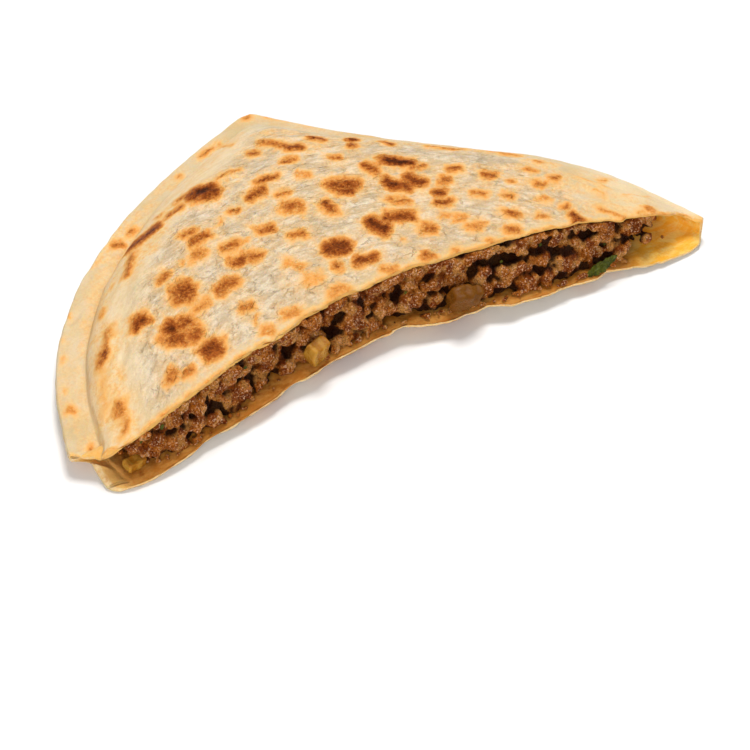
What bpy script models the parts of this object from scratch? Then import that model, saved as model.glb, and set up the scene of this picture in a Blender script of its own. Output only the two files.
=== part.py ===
# Half of a square griddled flatbread parcel, cut corner to corner: a folded dough wrap, pressed
# into a flange along its two outer sides and open along the cut, round a minced meat filling.
# Metres, +Z up. The cut runs along X and faces -Y, and the underside rests on Z = 0.
import math

import bmesh
import bpy
import numpy as np
from mathutils import Euler, Matrix, Vector

MM = 0.001

# Plan of the parcel, in the cut's own coordinates, before it is centred
LEFT_CORNER = np.array((-116.3, 13.6)) * MM
BACK_CORNER = np.array((29.6, 151.0)) * MM
RIGHT_CORNER = np.array((147.6, -1.0)) * MM
LEFT_SIDE_BOW = 29 * MM
LEFT_BOW_SKEW = 0.5
RIGHT_SIDE_BOW = 15.8 * MM
RIGHT_BOW_POWER = 1.9
BACK_CORNER_RADIUS = 5 * MM
CENTRE = np.array((16.03, 71.3)) * MM
SIDE_POINTS = 400
OUTLINE_POINTS = 600
CUT_POINTS = 1600
SECTIONS = 57
END_CROWDING = 0.45

# Dough
TOP_SHEET = 2.6 * MM
BOTTOM_SHEET = 2.4 * MM
CUT_ARCH_RISE = 5.6 * MM
CUT_ARCH_MIDDLE = 20 * MM
CUT_ARCH_HALF_LENGTH = 118 * MM
CUT_ARCH_DEPTH = 48 * MM
INNER_ROOF = 27 * MM
ROOF_BLEND_DEPTH = 60 * MM
POCKET_MARGIN = 1.0 * MM
SURFACE_SWELL = 0.7 * MM
SURFACE_SWELL_LENGTH = 34 * MM
SURFACE_SWELL_SEED = 3
CUT_EDGE_WAVE = 0.8 * MM
CUT_WAVE_LENGTH = 19 * MM
TOP_CUT_SEED = 5
BOTTOM_CUT_SEED = 8
CUT_END_BLEND = 3 * MM
RIM_BULGE = 0.45
RIM_ROWS = 3
POCKET_END_BULGE = 0.3
POCKET_END_HEIGHT = 1.2 * MM

# Rows of points from the cut to the back, as shares of the way
TOP_ROWS = (0, 0.08, 0.2, 0.35, 0.5, 0.65, 0.78, 0.88, 0.95, 0.985, 1)
TOP_FLANGE_ROWS = (0.5, 1)
BOTTOM_ROWS = (0, 0.12, 0.35, 0.6, 0.8, 0.92, 1)
POCKET_ROWS = (0, 0.12, 0.3, 0.5, 0.7, 0.84, 0.93, 0.98, 1)
FILLING_ROWS = (0, 0.1, 0.3, 0.55, 0.78, 0.92, 1)

# Heights and setbacks along the cut, as (x, value) in millimetres
ROOF_AT_CUT = (
    (-117, 17), (-95, 20.5), (-70, 24), (-40, 26.3), (12, 28.3),
    (56, 27.5), (95, 25), (126, 19.5), (148, 12),
)
TOP_CUT_LINE = (
    (-117, 13), (-98, 1.5), (-77, 4), (-51, 10), (8, 17.8),
    (25, 17.5), (56, 13.9), (100, 8.6), (123, 3), (148, -1),
)
BOTTOM_CUT_LINE = (
    (-117, 13), (-112.5, 11), (-110.2, 8), (-109.6, -1), (-105.5, -4.6), (-96, -5.4),
    (-84, -3.9), (-60, 0.4), (8, 9.8), (40, 4.6), (85, -2.6), (105, -2.6),
    (123, -5.4), (136, -6.4), (144, -4.6), (148, -1),
)
FILLING_SETBACK = (
    (-117, 10), (-97, 9), (-88, 3.2), (-60, 2.4), (-50, 3), (-42, 7.5), (-33, 6.5), (-20, 3), (0, 2.4),
    (30, 3), (50, 1.4), (72, 3.4), (82, 1.4), (100, 2.2), (126, 2), (148, 5),
)

# The flange and the roll-off beside it, as (share of the way round the outer edge, value in millimetres)
FLANGE_WIDTH = ((0, 11), (0.3, 9), (0.52, 7), (0.75, 7), (0.93, 4.5), (1, 2.5))
FLANGE_TOP = ((0, 8.8), (0.3, 8.6), (0.52, 7.2), (0.75, 7.4), (0.93, 8.6), (1, 10.6))
FLANGE_BOTTOM = ((0, 4.6), (0.52, 2.2), (0.8, 2.4), (1, 2.4))
TOP_ROLL_OFF = ((0, 30), (0.3, 34), (0.52, 44), (0.75, 38), (0.93, 24), (1, 14))
BOTTOM_ROLL_OFF = ((0, 12), (0.52, 16), (1, 7))
FLANGE_UNDERCUT = 0.7

# Filling
FILLING_GAP = 0.4 * MM
CORE_GAP = 1.4 * MM
FILLING_LEFT_END = -96 * MM
FILLING_RIGHT_END = 126 * MM
CORE_BEHIND_FOOT = 3 * MM
CORE_BEHIND_BROW = 1.5 * MM
SPACE_BEFORE_FOOT = 6 * MM
FACE_LEAN = 0.7
CORE_STATIONS = 29
SPACE_STATIONS = 45
CRUMB_SPACING = 7.6 * MM
CRUMB_RADIUS = (3.8 * MM, 5.2 * MM)
CRUMB_ROW_HEIGHT = 6.3 * MM
CRUMB_STAGGER = (-0.14, 0.32)
CRUMB_RISE_DRIFT = 0.15
CRUMB_RISE_LIMITS = (0.12, 0.94)
CRUMB_SINK = (0.15, 0.55)
CRUMB_SIDE_DRIFT = 2.2 * MM
CRUMB_LUMPS = 0.16
CRUMB_SEED = 11
CRUMB_DETAIL = 0.6
CRUMB_CLEAR_OF_PIECE = 4.6 * MM
PIECE_CLEARANCE = 0.35 * MM
FILLING_MARGIN = 2.5 * MM
LEAST_FILLING = 0.8 * MM
FILLING_END_BLEND = 0.04

# The pieces in the filling's face, in millimetres and degrees: (x along the cut, height, depth behind
# the face), size and turn
ONION_DICE = {
    "onion_dice_middle": ((-18.5, 11.8, 1.2), (6.6, 5.4, 7.6), (12, -6, 14)),
    "onion_dice_right": ((44, 13, 1.4), (8.6, 6, 7.4), (14, 12, -10)),
    "onion_dice_left": ((-97, 5.2, -1.8), (7.5, 4.4, 3.8), (6, 4, 8)),
}
HERB_LEAF = ((100.5, 9, 0.8), (13, 4.6, 0.9), (62, -15, 2))
DICE_ROUNDING = 0.16
LEAF_GRID = (11, 5)
LEAF_CUP = 0.18
LEAF_CURL = 0.1

WELD_DISTANCE = 0.005 * MM
SCRAP_WELD_DISTANCE = 0.01 * MM
DOUGH_COLOUR = (0.78, 0.62, 0.38, 1)
MINCE_COLOUR = (0.20, 0.085, 0.04, 1)
ONION_COLOUR = (0.72, 0.55, 0.28, 1)
HERB_COLOUR = (0.03, 0.09, 0.02, 1)


def along(profile, x):
    """A smooth curve through a profile's points, which rises and falls only where the points do."""
    px, pv = np.array(profile, float).T
    secant = np.diff(pv) / np.diff(px)
    turns = secant[1:] * secant[:-1] <= 0
    total = np.where(turns, 1, secant[1:] + secant[:-1])
    inner = np.where(turns, 0, 2 * secant[1:] * secant[:-1] / total)
    slope = np.concatenate(([secant[0]], inner, [secant[-1]]))
    x = np.clip(x, px[0], px[-1])
    i = np.clip(np.searchsorted(px, x) - 1, 0, len(px) - 2)
    h = px[i + 1] - px[i]
    t = (x - px[i]) / h
    rise = pv[i + 1] - pv[i]
    return pv[i] + t * t * (3 - 2 * t) * rise + t * (1 - t) * h * ((1 - t) * slope[i] - t * slope[i + 1])


def along_cut(profile, x):
    return along(profile, x / MM) * MM


def round_edge(profile, u):
    return along(profile, u) * MM


def smooth_step(t):
    t = np.clip(t, 0, 1)
    return t * t * (3 - 2 * t)


def quarter_round(t):
    """Rises from 0 to 1 as a quarter of an ellipse, steep at the start."""
    return np.sqrt(np.clip(1 - (1 - np.clip(t, 0, 1)) ** 2, 0, 1))


def swell(x, y, wavelength, seed, waves=7, spread=(0.7, 1.6), damping=4):
    """Smooth unevenness of about -1 to 1: waves of seeded lengths and directions, added up."""
    draw = np.random.default_rng(seed)
    total = np.zeros(np.broadcast(x, y).shape)
    for _ in range(waves):
        angle = draw.uniform(0, math.tau)
        number = math.tau / (wavelength * draw.uniform(*spread))
        phase = draw.uniform(0, math.tau)
        total = total + np.sin(number * (x * math.cos(angle) + y * math.sin(angle)) + phase)
    return total / damping


def resample(points, count):
    """The same line with its points evenly spaced."""
    length = np.concatenate(([0], np.cumsum(np.hypot(*np.diff(points, axis=0).T))))
    even = np.linspace(0, length[-1], count)
    return np.stack([np.interp(even, length, points[:, k]) for k in (0, 1)], axis=1)


def bowed_side(start, end, outward, bow):
    """A straight side pushed out by bow(t), with t from 0 to 1 along it."""
    t = np.linspace(0, 1, SIDE_POINTS)
    chord = end - start
    normal = outward * np.array((-chord[1], chord[0])) / np.hypot(*chord)
    return start + t[:, None] * chord + bow(t)[:, None] * normal


def outer_edge():
    """The parcel's outline from the left corner round the back corner to the right one."""
    left = bowed_side(LEFT_CORNER, BACK_CORNER, 1,
                      lambda t: LEFT_SIDE_BOW * 4 * t * (1 - t) * (1 - LEFT_BOW_SKEW * (t - 0.4)))
    right = bowed_side(BACK_CORNER, RIGHT_CORNER, 1,
                       lambda t: RIGHT_SIDE_BOW * np.sin(math.pi * t ** RIGHT_BOW_POWER))
    line = resample(np.concatenate((left, right[1:])), 2 * OUTLINE_POINTS)
    step = np.hypot(*(line[1] - line[0]))
    reach = int(3 * BACK_CORNER_RADIUS / step)
    weight = np.exp(-0.5 * (np.arange(-reach, reach + 1) * step / BACK_CORNER_RADIUS) ** 2)
    before = 2 * line[0] - line[reach:0:-1]
    beyond = 2 * line[-1] - line[-2:-reach - 2:-1]
    padded = np.concatenate((before, line, beyond))
    rounded = np.stack([np.convolve(padded[:, k], weight / weight.sum(), "valid") for k in (0, 1)], axis=1)
    return resample(rounded, OUTLINE_POINTS)


EDGE = outer_edge()


def inset_edge(margin):
    """The outline moved in by the flange's width and a margin, less the loop that the back corner makes."""
    u = np.linspace(0, 1, len(EDGE))
    tangent = np.gradient(EDGE, axis=0)
    inward = np.stack((tangent[:, 1], -tangent[:, 0]), axis=1) / np.hypot(*tangent.T)[:, None]
    width = round_edge(FLANGE_WIDTH, u) + margin
    moved = EDGE + inward * width[:, None]
    clear, _ = edge_distance(moved[:, 0], moved[:, 1])
    beside_loop = clear > 0.97 * width
    return resample(moved[beside_loop], OUTLINE_POINTS)


def edge_distance(x, y):
    """How far each point lies inside the outer edge, and its share of the way round it."""
    gap = np.hypot(np.ravel(x)[:, None] - EDGE[:, 0], np.ravel(y)[:, None] - EDGE[:, 1])
    nearest = gap.argmin(axis=1)
    distance = gap[np.arange(len(nearest)), nearest]
    share = nearest / (len(EDGE) - 1)
    return distance.reshape(np.shape(x)), share.reshape(np.shape(x))


def arch(x, y):
    """The underside's rise along the middle of the cut, which dies out further in."""
    length = np.clip(1 - ((x - CUT_ARCH_MIDDLE) / CUT_ARCH_HALF_LENGTH) ** 2, 0, 1)
    return CUT_ARCH_RISE * length * (1 - smooth_step((y - along_cut(BOTTOM_CUT_LINE, x)) / CUT_ARCH_DEPTH))


def top_height(x, y):
    """The top sheet's upper side: the flange, then a steep shoulder up to the domed roof."""
    inside, u = edge_distance(x, y)
    blend = smooth_step(y / ROOF_BLEND_DEPTH)
    roof = along_cut(ROOF_AT_CUT, x) * (1 - blend) + INNER_ROOF * blend
    roof = roof + SURFACE_SWELL * swell(x, y, SURFACE_SWELL_LENGTH, SURFACE_SWELL_SEED)
    flange = round_edge(FLANGE_TOP, u)
    shoulder = quarter_round((inside - round_edge(FLANGE_WIDTH, u)) / round_edge(TOP_ROLL_OFF, u))
    return flange + (roof - flange) * shoulder


def bottom_height(x, y):
    """The bottom sheet's under side: flat on the table, raised under the flange and along the cut."""
    inside, u = edge_distance(x, y)
    flange = round_edge(FLANGE_BOTTOM, u)
    foot = FLANGE_UNDERCUT * round_edge(FLANGE_WIDTH, u)
    lifted = quarter_round((inside - foot) / round_edge(BOTTOM_ROLL_OFF, u))
    return arch(x, y) * lifted + flange * (1 - lifted)


def ease_ends(count):
    """Shares from 0 to 1, closer together at both ends."""
    t = np.linspace(0, 1, count)
    return (1 - END_CROWDING) * t + END_CROWDING * (1 - np.cos(math.pi * t)) / 2


def edge_points(line, count):
    share = ease_ends(count)
    place = share * (len(line) - 1)
    return np.stack([np.interp(place, np.arange(len(line)), line[:, k]) for k in (0, 1)], axis=1)


def cut_points(profile, start, end, count, wave_seed):
    """Points along a wavy cut line, with both ends drawn to the tips that it shares with the outer line."""
    x = np.linspace(start[0], end[0], CUT_POINTS)
    share = (x - x[0]) / (x[-1] - x[0])
    wave = CUT_EDGE_WAVE * np.minimum(1, 6 * share * (1 - share))
    y = along_cut(profile, x) + wave * swell(x, 0 * x, CUT_WAVE_LENGTH, wave_seed)
    y = y + (start[1] - y[0]) * np.clip(1 - (x - x[0]) / CUT_END_BLEND, 0, 1)
    y = y + (end[1] - y[-1]) * np.clip(1 - (x[-1] - x) / CUT_END_BLEND, 0, 1)
    return edge_points(resample(np.stack((x, y), axis=1), CUT_POINTS), count)


def sheet_rows(front, back, shares, height):
    """Rows of points from a front line to a back line, each raised to height(x, y)."""
    rows = []
    for share in shares:
        v = np.reshape(share, (-1, 1))
        plan = front * (1 - v) + back * v
        rows.append(np.column_stack((plan, height(plan[:, 0], plan[:, 1]))))
    return rows


def flange_start(front, back, trials=240, limits=(0.35, 0.97)):
    """The share of the way from front to back at which each station reaches the flange."""
    trial = np.linspace(0, 1, trials)
    plan = front + trial[:, None, None] * (back - front)
    inside, u = edge_distance(plan[..., 0], plan[..., 1])
    start = trial[(inside < round_edge(FLANGE_WIDTH, u)).argmax(axis=0)]
    return np.clip(start, *limits)


def rows_with_flange(front, back, before, beyond, height):
    """Rows from the cut to the outer edge, one of which runs along the groove beside the flange."""
    start = flange_start(front, back)
    shares = [share * start for share in before] + [start + share * (1 - start) for share in beyond]
    return sheet_rows(front, back, shares, height)


def rounded_between(upper, lower, outward, bulge, count):
    """Rows that turn from an upper row to a lower one round a bulging edge."""
    rows = []
    for k in range(1, count + 1):
        turn = math.pi * k / (count + 1)
        middle = (upper + lower) / 2
        rows.append(middle + (upper - middle) * math.cos(turn) + outward * bulge[:, None] * math.sin(turn))
    return rows


def outward_of(line):
    tangent = np.gradient(line, axis=0)
    flat = np.stack((-tangent[:, 1], tangent[:, 0]), axis=1) / np.hypot(*tangent.T)[:, None]
    return np.column_stack((flat, np.zeros(len(flat))))


def loft(name, rows, closed_tips, collection):
    """A closed mesh from rows that run from tip to tip. Each tip gathers its rows' ends in groups."""
    grid = np.stack(rows)
    for start, stop in closed_tips:
        for end in (0, -1):
            grid[start:stop, end] = grid[start:stop, end].mean(axis=0)
    row_count, count, _ = grid.shape
    index = np.arange(row_count * count).reshape(row_count, count)
    after = np.roll(index, -1, axis=0)
    faces = np.stack((index[:, :-1], index[:, 1:], after[:, 1:], after[:, :-1]), axis=-1).reshape(-1, 4)
    points = grid.reshape(-1, 3) - np.array((*CENTRE, 0))
    mesh = bpy.data.meshes.new(name)
    mesh.from_pydata(points.tolist(), [], faces.tolist())
    shape = bmesh.new()
    shape.from_mesh(mesh)
    bmesh.ops.remove_doubles(shape, verts=shape.verts, dist=WELD_DISTANCE)
    bmesh.ops.triangulate(shape, faces=shape.faces)
    bmesh.ops.recalc_face_normals(shape, faces=shape.faces)
    shape.to_mesh(mesh)
    shape.free()
    made = bpy.data.objects.new(name, mesh)
    collection.objects.link(made)
    return made


def sheets_apart(upper, lower, least):
    """Keeps an upper row at least that far above the lower one."""
    short = np.maximum(0, least - (upper[:, 2] - lower[:, 2])) / 2
    upper[:, 2] += short
    lower[:, 2] -= short


def build_dough(collection):
    """The wrap: its skin from the top cut edge round the flange to the bottom one, then the pocket."""
    top_front = cut_points(TOP_CUT_LINE, LEFT_CORNER, RIGHT_CORNER, SECTIONS, TOP_CUT_SEED)
    bottom_front = cut_points(BOTTOM_CUT_LINE, LEFT_CORNER, RIGHT_CORNER, SECTIONS, BOTTOM_CUT_SEED)
    back = edge_points(EDGE, SECTIONS)
    top = rows_with_flange(top_front, back, TOP_ROWS, TOP_FLANGE_ROWS, top_height)
    bottom = rows_with_flange(bottom_front, back, BOTTOM_ROWS, (1,), bottom_height)[::-1]
    half_thick = (top[-1][:, 2] - bottom[0][:, 2]) / 2
    rim = rounded_between(top[-1], bottom[0], outward_of(back), RIM_BULGE * half_thick, RIM_ROWS)

    line = inset_edge(POCKET_MARGIN)
    line_ends = (line[0], line[-1])
    pocket_back = edge_points(line, SECTIONS)
    pocket_top_front = cut_points(TOP_CUT_LINE, *line_ends, SECTIONS, TOP_CUT_SEED)
    pocket_bottom_front = cut_points(BOTTOM_CUT_LINE, *line_ends, SECTIONS, BOTTOM_CUT_SEED)
    floor = sheet_rows(pocket_bottom_front, pocket_back, POCKET_ROWS,
                       lambda x, y: bottom_height(x, y) + BOTTOM_SHEET)
    ceiling = sheet_rows(pocket_top_front, pocket_back, POCKET_ROWS[::-1],
                         lambda x, y: top_height(x, y) - TOP_SHEET)
    sheets_apart(ceiling[0], floor[-1], POCKET_END_HEIGHT)
    half_open = (ceiling[0][:, 2] - floor[-1][:, 2]) / 2
    end = rounded_between(floor[-1], ceiling[0], outward_of(pocket_back), POCKET_END_BULGE * half_open, 1)

    rows = top + rim + bottom + floor + end + ceiling
    outer_count = len(top) + len(rim) + len(bottom)
    return loft("dough", rows, ((0, outer_count), (outer_count, len(rows))), collection)


def filling_line(gap):
    """The pocket's line moved in a little, cut off at the filling's two ends."""
    line = inset_edge(POCKET_MARGIN + FILLING_MARGIN + gap)
    between_ends = (line[:, 0] > FILLING_LEFT_END) & (line[:, 0] < FILLING_RIGHT_END)
    return resample(line[between_ends], OUTLINE_POINTS)


def filling_face(x):
    """Where the filling's front shows, behind the bottom sheet's cut edge."""
    return along_cut(BOTTOM_CUT_LINE, x) + along_cut(FILLING_SETBACK, x)


def filling_floor(x, y, gap=FILLING_GAP):
    return bottom_height(x, y) + BOTTOM_SHEET + gap


def filling_ceiling(x, y, gap=FILLING_GAP):
    return np.maximum(top_height(x, y) - TOP_SHEET - gap, filling_floor(x, y, gap) + LEAST_FILLING)


def front_between(back_line, y_at, stations):
    """A front line y = y_at(x) with its two ends drawn to the back line's."""
    share = ease_ends(stations)
    x = back_line[0, 0] + share * (back_line[-1, 0] - back_line[0, 0])
    front = np.stack((x, y_at(x)), axis=1)
    front += (back_line[0] - front[0]) * np.clip(1 - share / FILLING_END_BLEND, 0, 1)[:, None]
    front += (back_line[-1] - front[-1]) * np.clip(1 - (1 - share) / FILLING_END_BLEND, 0, 1)[:, None]
    return front


def build_filling_body(name, foot_at, brow_at, gap, stations, collection):
    """A closed body between the sheets, from a foot and a brow line in front to the pocket's back."""
    back_line = filling_line(gap)
    back = edge_points(back_line, stations)
    foot = front_between(back_line, foot_at, stations)
    brow = front_between(back_line, brow_at, stations)
    roof = sheet_rows(brow, back, FILLING_ROWS, lambda x, y: filling_ceiling(x, y, gap))
    base = sheet_rows(foot, back, FILLING_ROWS[::-1], lambda x, y: filling_floor(x, y, gap))
    rows = roof + base
    return loft(name, rows, ((0, len(rows)),), collection)


def crumb_columns():
    """Where the columns of crumbs stand: x, then the face's foot, lean, lowest and highest point there."""
    columns = []
    for x in np.arange(FILLING_LEFT_END + 4 * MM, FILLING_RIGHT_END - 2 * MM, CRUMB_SPACING):
        foot = filling_face(np.array([x]))
        lean = FACE_LEAN * max(0, along_cut(TOP_CUT_LINE, x) - foot[0])
        low = filling_floor(np.array([x]), foot)[0]
        high = filling_ceiling(np.array([x]), foot + lean)[0]
        columns.append((x, foot[0], lean, low, high))
    return columns


def crumb_places(pieces):
    """Centre, radius and seed of each crumb that shows, in columns and clear of the pieces."""
    taken = [(piece.location.x + CENTRE[0], piece.location.z) for piece in pieces]
    draw = np.random.default_rng(CRUMB_SEED)
    places = []
    for column, (x, foot, lean, low, high) in enumerate(crumb_columns()):
        count = max(1, round((high - low) / CRUMB_ROW_HEIGHT))
        for row in range(count):
            radius = draw.uniform(*CRUMB_RADIUS)
            drift = draw.uniform(-CRUMB_RISE_DRIFT, CRUMB_RISE_DRIFT)
            rise = np.clip((row + 0.5 + CRUMB_STAGGER[column % 2] + drift) / count, *CRUMB_RISE_LIMITS)
            y = foot + lean * rise + radius * draw.uniform(*CRUMB_SINK)
            place = (x + draw.uniform(-CRUMB_SIDE_DRIFT, CRUMB_SIDE_DRIFT), y, low + (high - low) * rise)
            seed = draw.integers(1 << 30)
            if all(math.hypot(place[0] - px, place[2] - pz) > CRUMB_CLEAR_OF_PIECE for px, pz in taken):
                places.append((place, radius, seed))
    return places


def build_crumb(number, place, radius, seed, collection):
    """A lumpy crumb of mince with few sides."""
    draw = np.random.default_rng(seed)
    shape = bmesh.new()
    bmesh.ops.create_uvsphere(shape, u_segments=6, v_segments=5, radius=radius)
    bmesh.ops.triangulate(shape, faces=shape.faces)
    for vertex in shape.verts:
        vertex.co *= 1 + draw.uniform(-CRUMB_LUMPS, CRUMB_LUMPS)
    stretch = Matrix.Diagonal((draw.uniform(0.9, 1.3), draw.uniform(0.85, 1.1), draw.uniform(0.75, 1.0), 1))
    turn = Euler(draw.uniform(0, math.tau, 3).tolist()).to_matrix().to_4x4()
    bmesh.ops.transform(shape, matrix=stretch @ turn, verts=shape.verts)
    mesh = bpy.data.meshes.new(f"crumb_{number}")
    shape.to_mesh(mesh)
    shape.free()
    crumb = bpy.data.objects.new(f"crumb_{number}", mesh)
    crumb.location = Vector(place) - Vector((*CENTRE, 0))
    collection.objects.link(crumb)


def boolean(target, name, operation, operand):
    cut = target.modifiers.new(name, "BOOLEAN")
    cut.operation = operation
    cut.solver = "EXACT"
    if isinstance(operand, bpy.types.Collection):
        cut.operand_type = "COLLECTION"
        cut.collection = operand
    else:
        cut.object = operand


def apply_modifiers(target):
    """Keeps the evaluated mesh as the object's own."""
    bpy.context.view_layer.update()
    evaluated = target.evaluated_get(bpy.context.evaluated_depsgraph_get())
    mesh = bpy.data.meshes.new_from_object(evaluated)
    target.modifiers.clear()
    target.data = mesh


def keep_largest_body(target):
    """Drops loose scraps and the walls of sealed hollows that fusing left."""
    shape = bmesh.new()
    shape.from_mesh(target.data)
    bmesh.ops.remove_doubles(shape, verts=shape.verts, dist=SCRAP_WELD_DISTANCE)
    left = set(shape.verts)
    bodies = []
    while left:
        body, edge = set(), [next(iter(left))]
        while edge:
            vertex = edge.pop()
            if vertex not in body:
                body.add(vertex)
                edge += [link.other_vert(vertex) for link in vertex.link_edges]
        bodies.append(body)
        left -= body
    bodies.sort(key=len)
    for body in bodies[:-1]:
        bmesh.ops.delete(shape, geom=list(body), context="VERTS")
    shape.to_mesh(target.data)
    shape.free()


def build_filling(pieces, collection, helpers):
    """The mince: a core with the crumbs that show fused to its face, trimmed to the pocket."""
    core = build_filling_body("mince_filling", lambda x: filling_face(x) + CORE_BEHIND_FOOT,
                              lambda x: along_cut(TOP_CUT_LINE, x) + CORE_BEHIND_BROW,
                              CORE_GAP, CORE_STATIONS, collection)
    crumbs = bpy.data.collections.new("crumbs")
    bpy.context.scene.collection.children.link(crumbs)
    for number, (place, radius, seed) in enumerate(crumb_places(pieces)):
        build_crumb(number, place, radius, seed, crumbs)
    boolean(core, "fuse_crumbs", "UNION", crumbs)
    fewer = core.modifiers.new("fewer_sides", "DECIMATE")
    fewer.ratio = CRUMB_DETAIL
    apply_modifiers(core)
    for crumb in list(crumbs.objects):
        bpy.data.objects.remove(crumb)
    bpy.data.collections.remove(crumbs)
    space = build_filling_body("pocket_space", lambda x: filling_face(x) - SPACE_BEFORE_FOOT,
                               lambda x: filling_face(x) - SPACE_BEFORE_FOOT,
                               FILLING_GAP, SPACE_STATIONS, helpers)
    boolean(core, "trim_to_pocket", "INTERSECT", space)
    for piece in pieces:
        room = piece.copy()
        room.data = piece.data.copy()
        room.name = piece.name + "_room"
        room.modifiers.clear()
        swollen = room.modifiers.new("clearance", "DISPLACE")
        swollen.strength = PIECE_CLEARANCE
        swollen.mid_level = 0
        helpers.objects.link(room)
        boolean(core, "room_for_" + piece.name, "DIFFERENCE", room)
    apply_modifiers(core)
    keep_largest_body(core)
    return core


def hide_helpers(helpers):
    for helper in helpers.objects:
        helper.hide_render = True
        helper.display_type = "WIRE"


def set_in_face(name, mesh, place, turn, collection):
    """An object for a piece, at (x along the cut, height, depth behind the face) in millimetres."""
    x, height, depth = np.array(place) * MM
    piece = bpy.data.objects.new(name, mesh)
    y = filling_face(np.array([x]))[0] + depth
    piece.location = Vector((x - CENTRE[0], y - CENTRE[1], height))
    piece.rotation_euler = [math.radians(angle) for angle in turn]
    collection.objects.link(piece)
    return piece


def build_dice(name, place, size, turn, collection):
    """A diced piece of onion: a box with softened edges, set in the filling's face."""
    shape = bmesh.new()
    bmesh.ops.create_cube(shape, size=1)
    bmesh.ops.transform(shape, matrix=Matrix.Diagonal((*np.array(size) * MM, 1)), verts=shape.verts)
    bmesh.ops.bevel(shape, geom=shape.edges[:], offset=DICE_ROUNDING * min(size) * MM, segments=2,
                    affect="EDGES", profile=0.5)
    bmesh.ops.triangulate(shape, faces=shape.faces)
    mesh = bpy.data.meshes.new(name)
    shape.to_mesh(mesh)
    shape.free()
    return set_in_face(name, mesh, place, turn, collection)


def build_leaf(name, place, size, turn, collection):
    """A strip of green leaf with pointed ends, cupped across its width and curled along its length."""
    length, width, thickness = np.array(size) * MM
    lengthwise, across = LEAF_GRID
    u = np.linspace(-1, 1, lengthwise)[:, None]
    v = np.linspace(-1, 1, across)[None, :]
    outline = np.sqrt(1 - 0.96 * u ** 2) * (1 - 0.15 * u)
    px = 0.5 * length * u + 0 * v
    py = 0.5 * width * outline * v
    pz = LEAF_CUP * width * (v ** 2) * outline + LEAF_CURL * width * np.sin(2.4 * u)
    upper = np.stack((px, py, pz + thickness / 2 + 0 * v), axis=-1).reshape(-1, 3)
    lower = np.stack((px, py, pz - thickness / 2 + 0 * v), axis=-1).reshape(-1, 3)
    index = np.arange(lengthwise * across).reshape(lengthwise, across)
    corners = (index[:-1, :-1], index[1:, :-1], index[1:, 1:], index[:-1, 1:])
    quads = np.stack(corners, axis=-1).reshape(-1, 4)
    ring = np.concatenate((index[0, :-1], index[:-1, -1], index[-1, :0:-1], index[:0:-1, 0]))
    turned = np.roll(ring, -1)
    beneath = lengthwise * across
    sides = np.stack((ring, turned, turned + beneath, ring + beneath), axis=-1)
    quads = np.concatenate((quads, quads[:, ::-1] + beneath, sides))
    mesh = bpy.data.meshes.new(name)
    mesh.from_pydata(np.concatenate((upper, lower)).tolist(), [], quads.tolist())
    shape = bmesh.new()
    shape.from_mesh(mesh)
    bmesh.ops.triangulate(shape, faces=shape.faces)
    bmesh.ops.recalc_face_normals(shape, faces=shape.faces)
    shape.to_mesh(mesh)
    shape.free()
    return set_in_face(name, mesh, place, turn, collection)


def finish_with(target, name, colour, roughness):
    material = bpy.data.materials.new(name)
    material.use_nodes = True
    surface = material.node_tree.nodes["Principled BSDF"]
    surface.inputs["Base Color"].default_value = colour
    surface.inputs["Roughness"].default_value = roughness
    target.data.materials.clear()
    target.data.materials.append(material)


def clear_scene():
    for old in list(bpy.data.objects):
        bpy.data.objects.remove(old)


def main():
    clear_scene()
    parcel = bpy.data.collections.new("gozleme")
    helpers = bpy.data.collections.new("helpers")
    for collection in (parcel, helpers):
        bpy.context.scene.collection.children.link(collection)
    dough = build_dough(parcel)
    finish_with(dough, "griddled_dough", DOUGH_COLOUR, 0.6)
    onions = [build_dice(name, *about, parcel) for name, about in ONION_DICE.items()]
    for dice in onions:
        finish_with(dice, "cooked_onion", ONION_COLOUR, 0.35)
    leaf = build_leaf("herb_leaf", *HERB_LEAF, parcel)
    finish_with(leaf, "green_leaf", HERB_COLOUR, 0.3)
    filling = build_filling([*onions, leaf], parcel, helpers)
    finish_with(filling, "minced_meat", MINCE_COLOUR, 0.45)
    hide_helpers(helpers)


main()
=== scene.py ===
# Half of a minced meat gozleme, cut corner to corner: toasted dough, minced meat, diced onion and a leaf.
# The frame is in metres with +Z up. Shapes are worked out in millimetres along the cut (x), into the
# parcel (y) and up (z), and turned into metres in the frame when their mesh is made.
import math

import bmesh
import bpy
import numpy as np
from mathutils import Matrix, Vector


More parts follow.
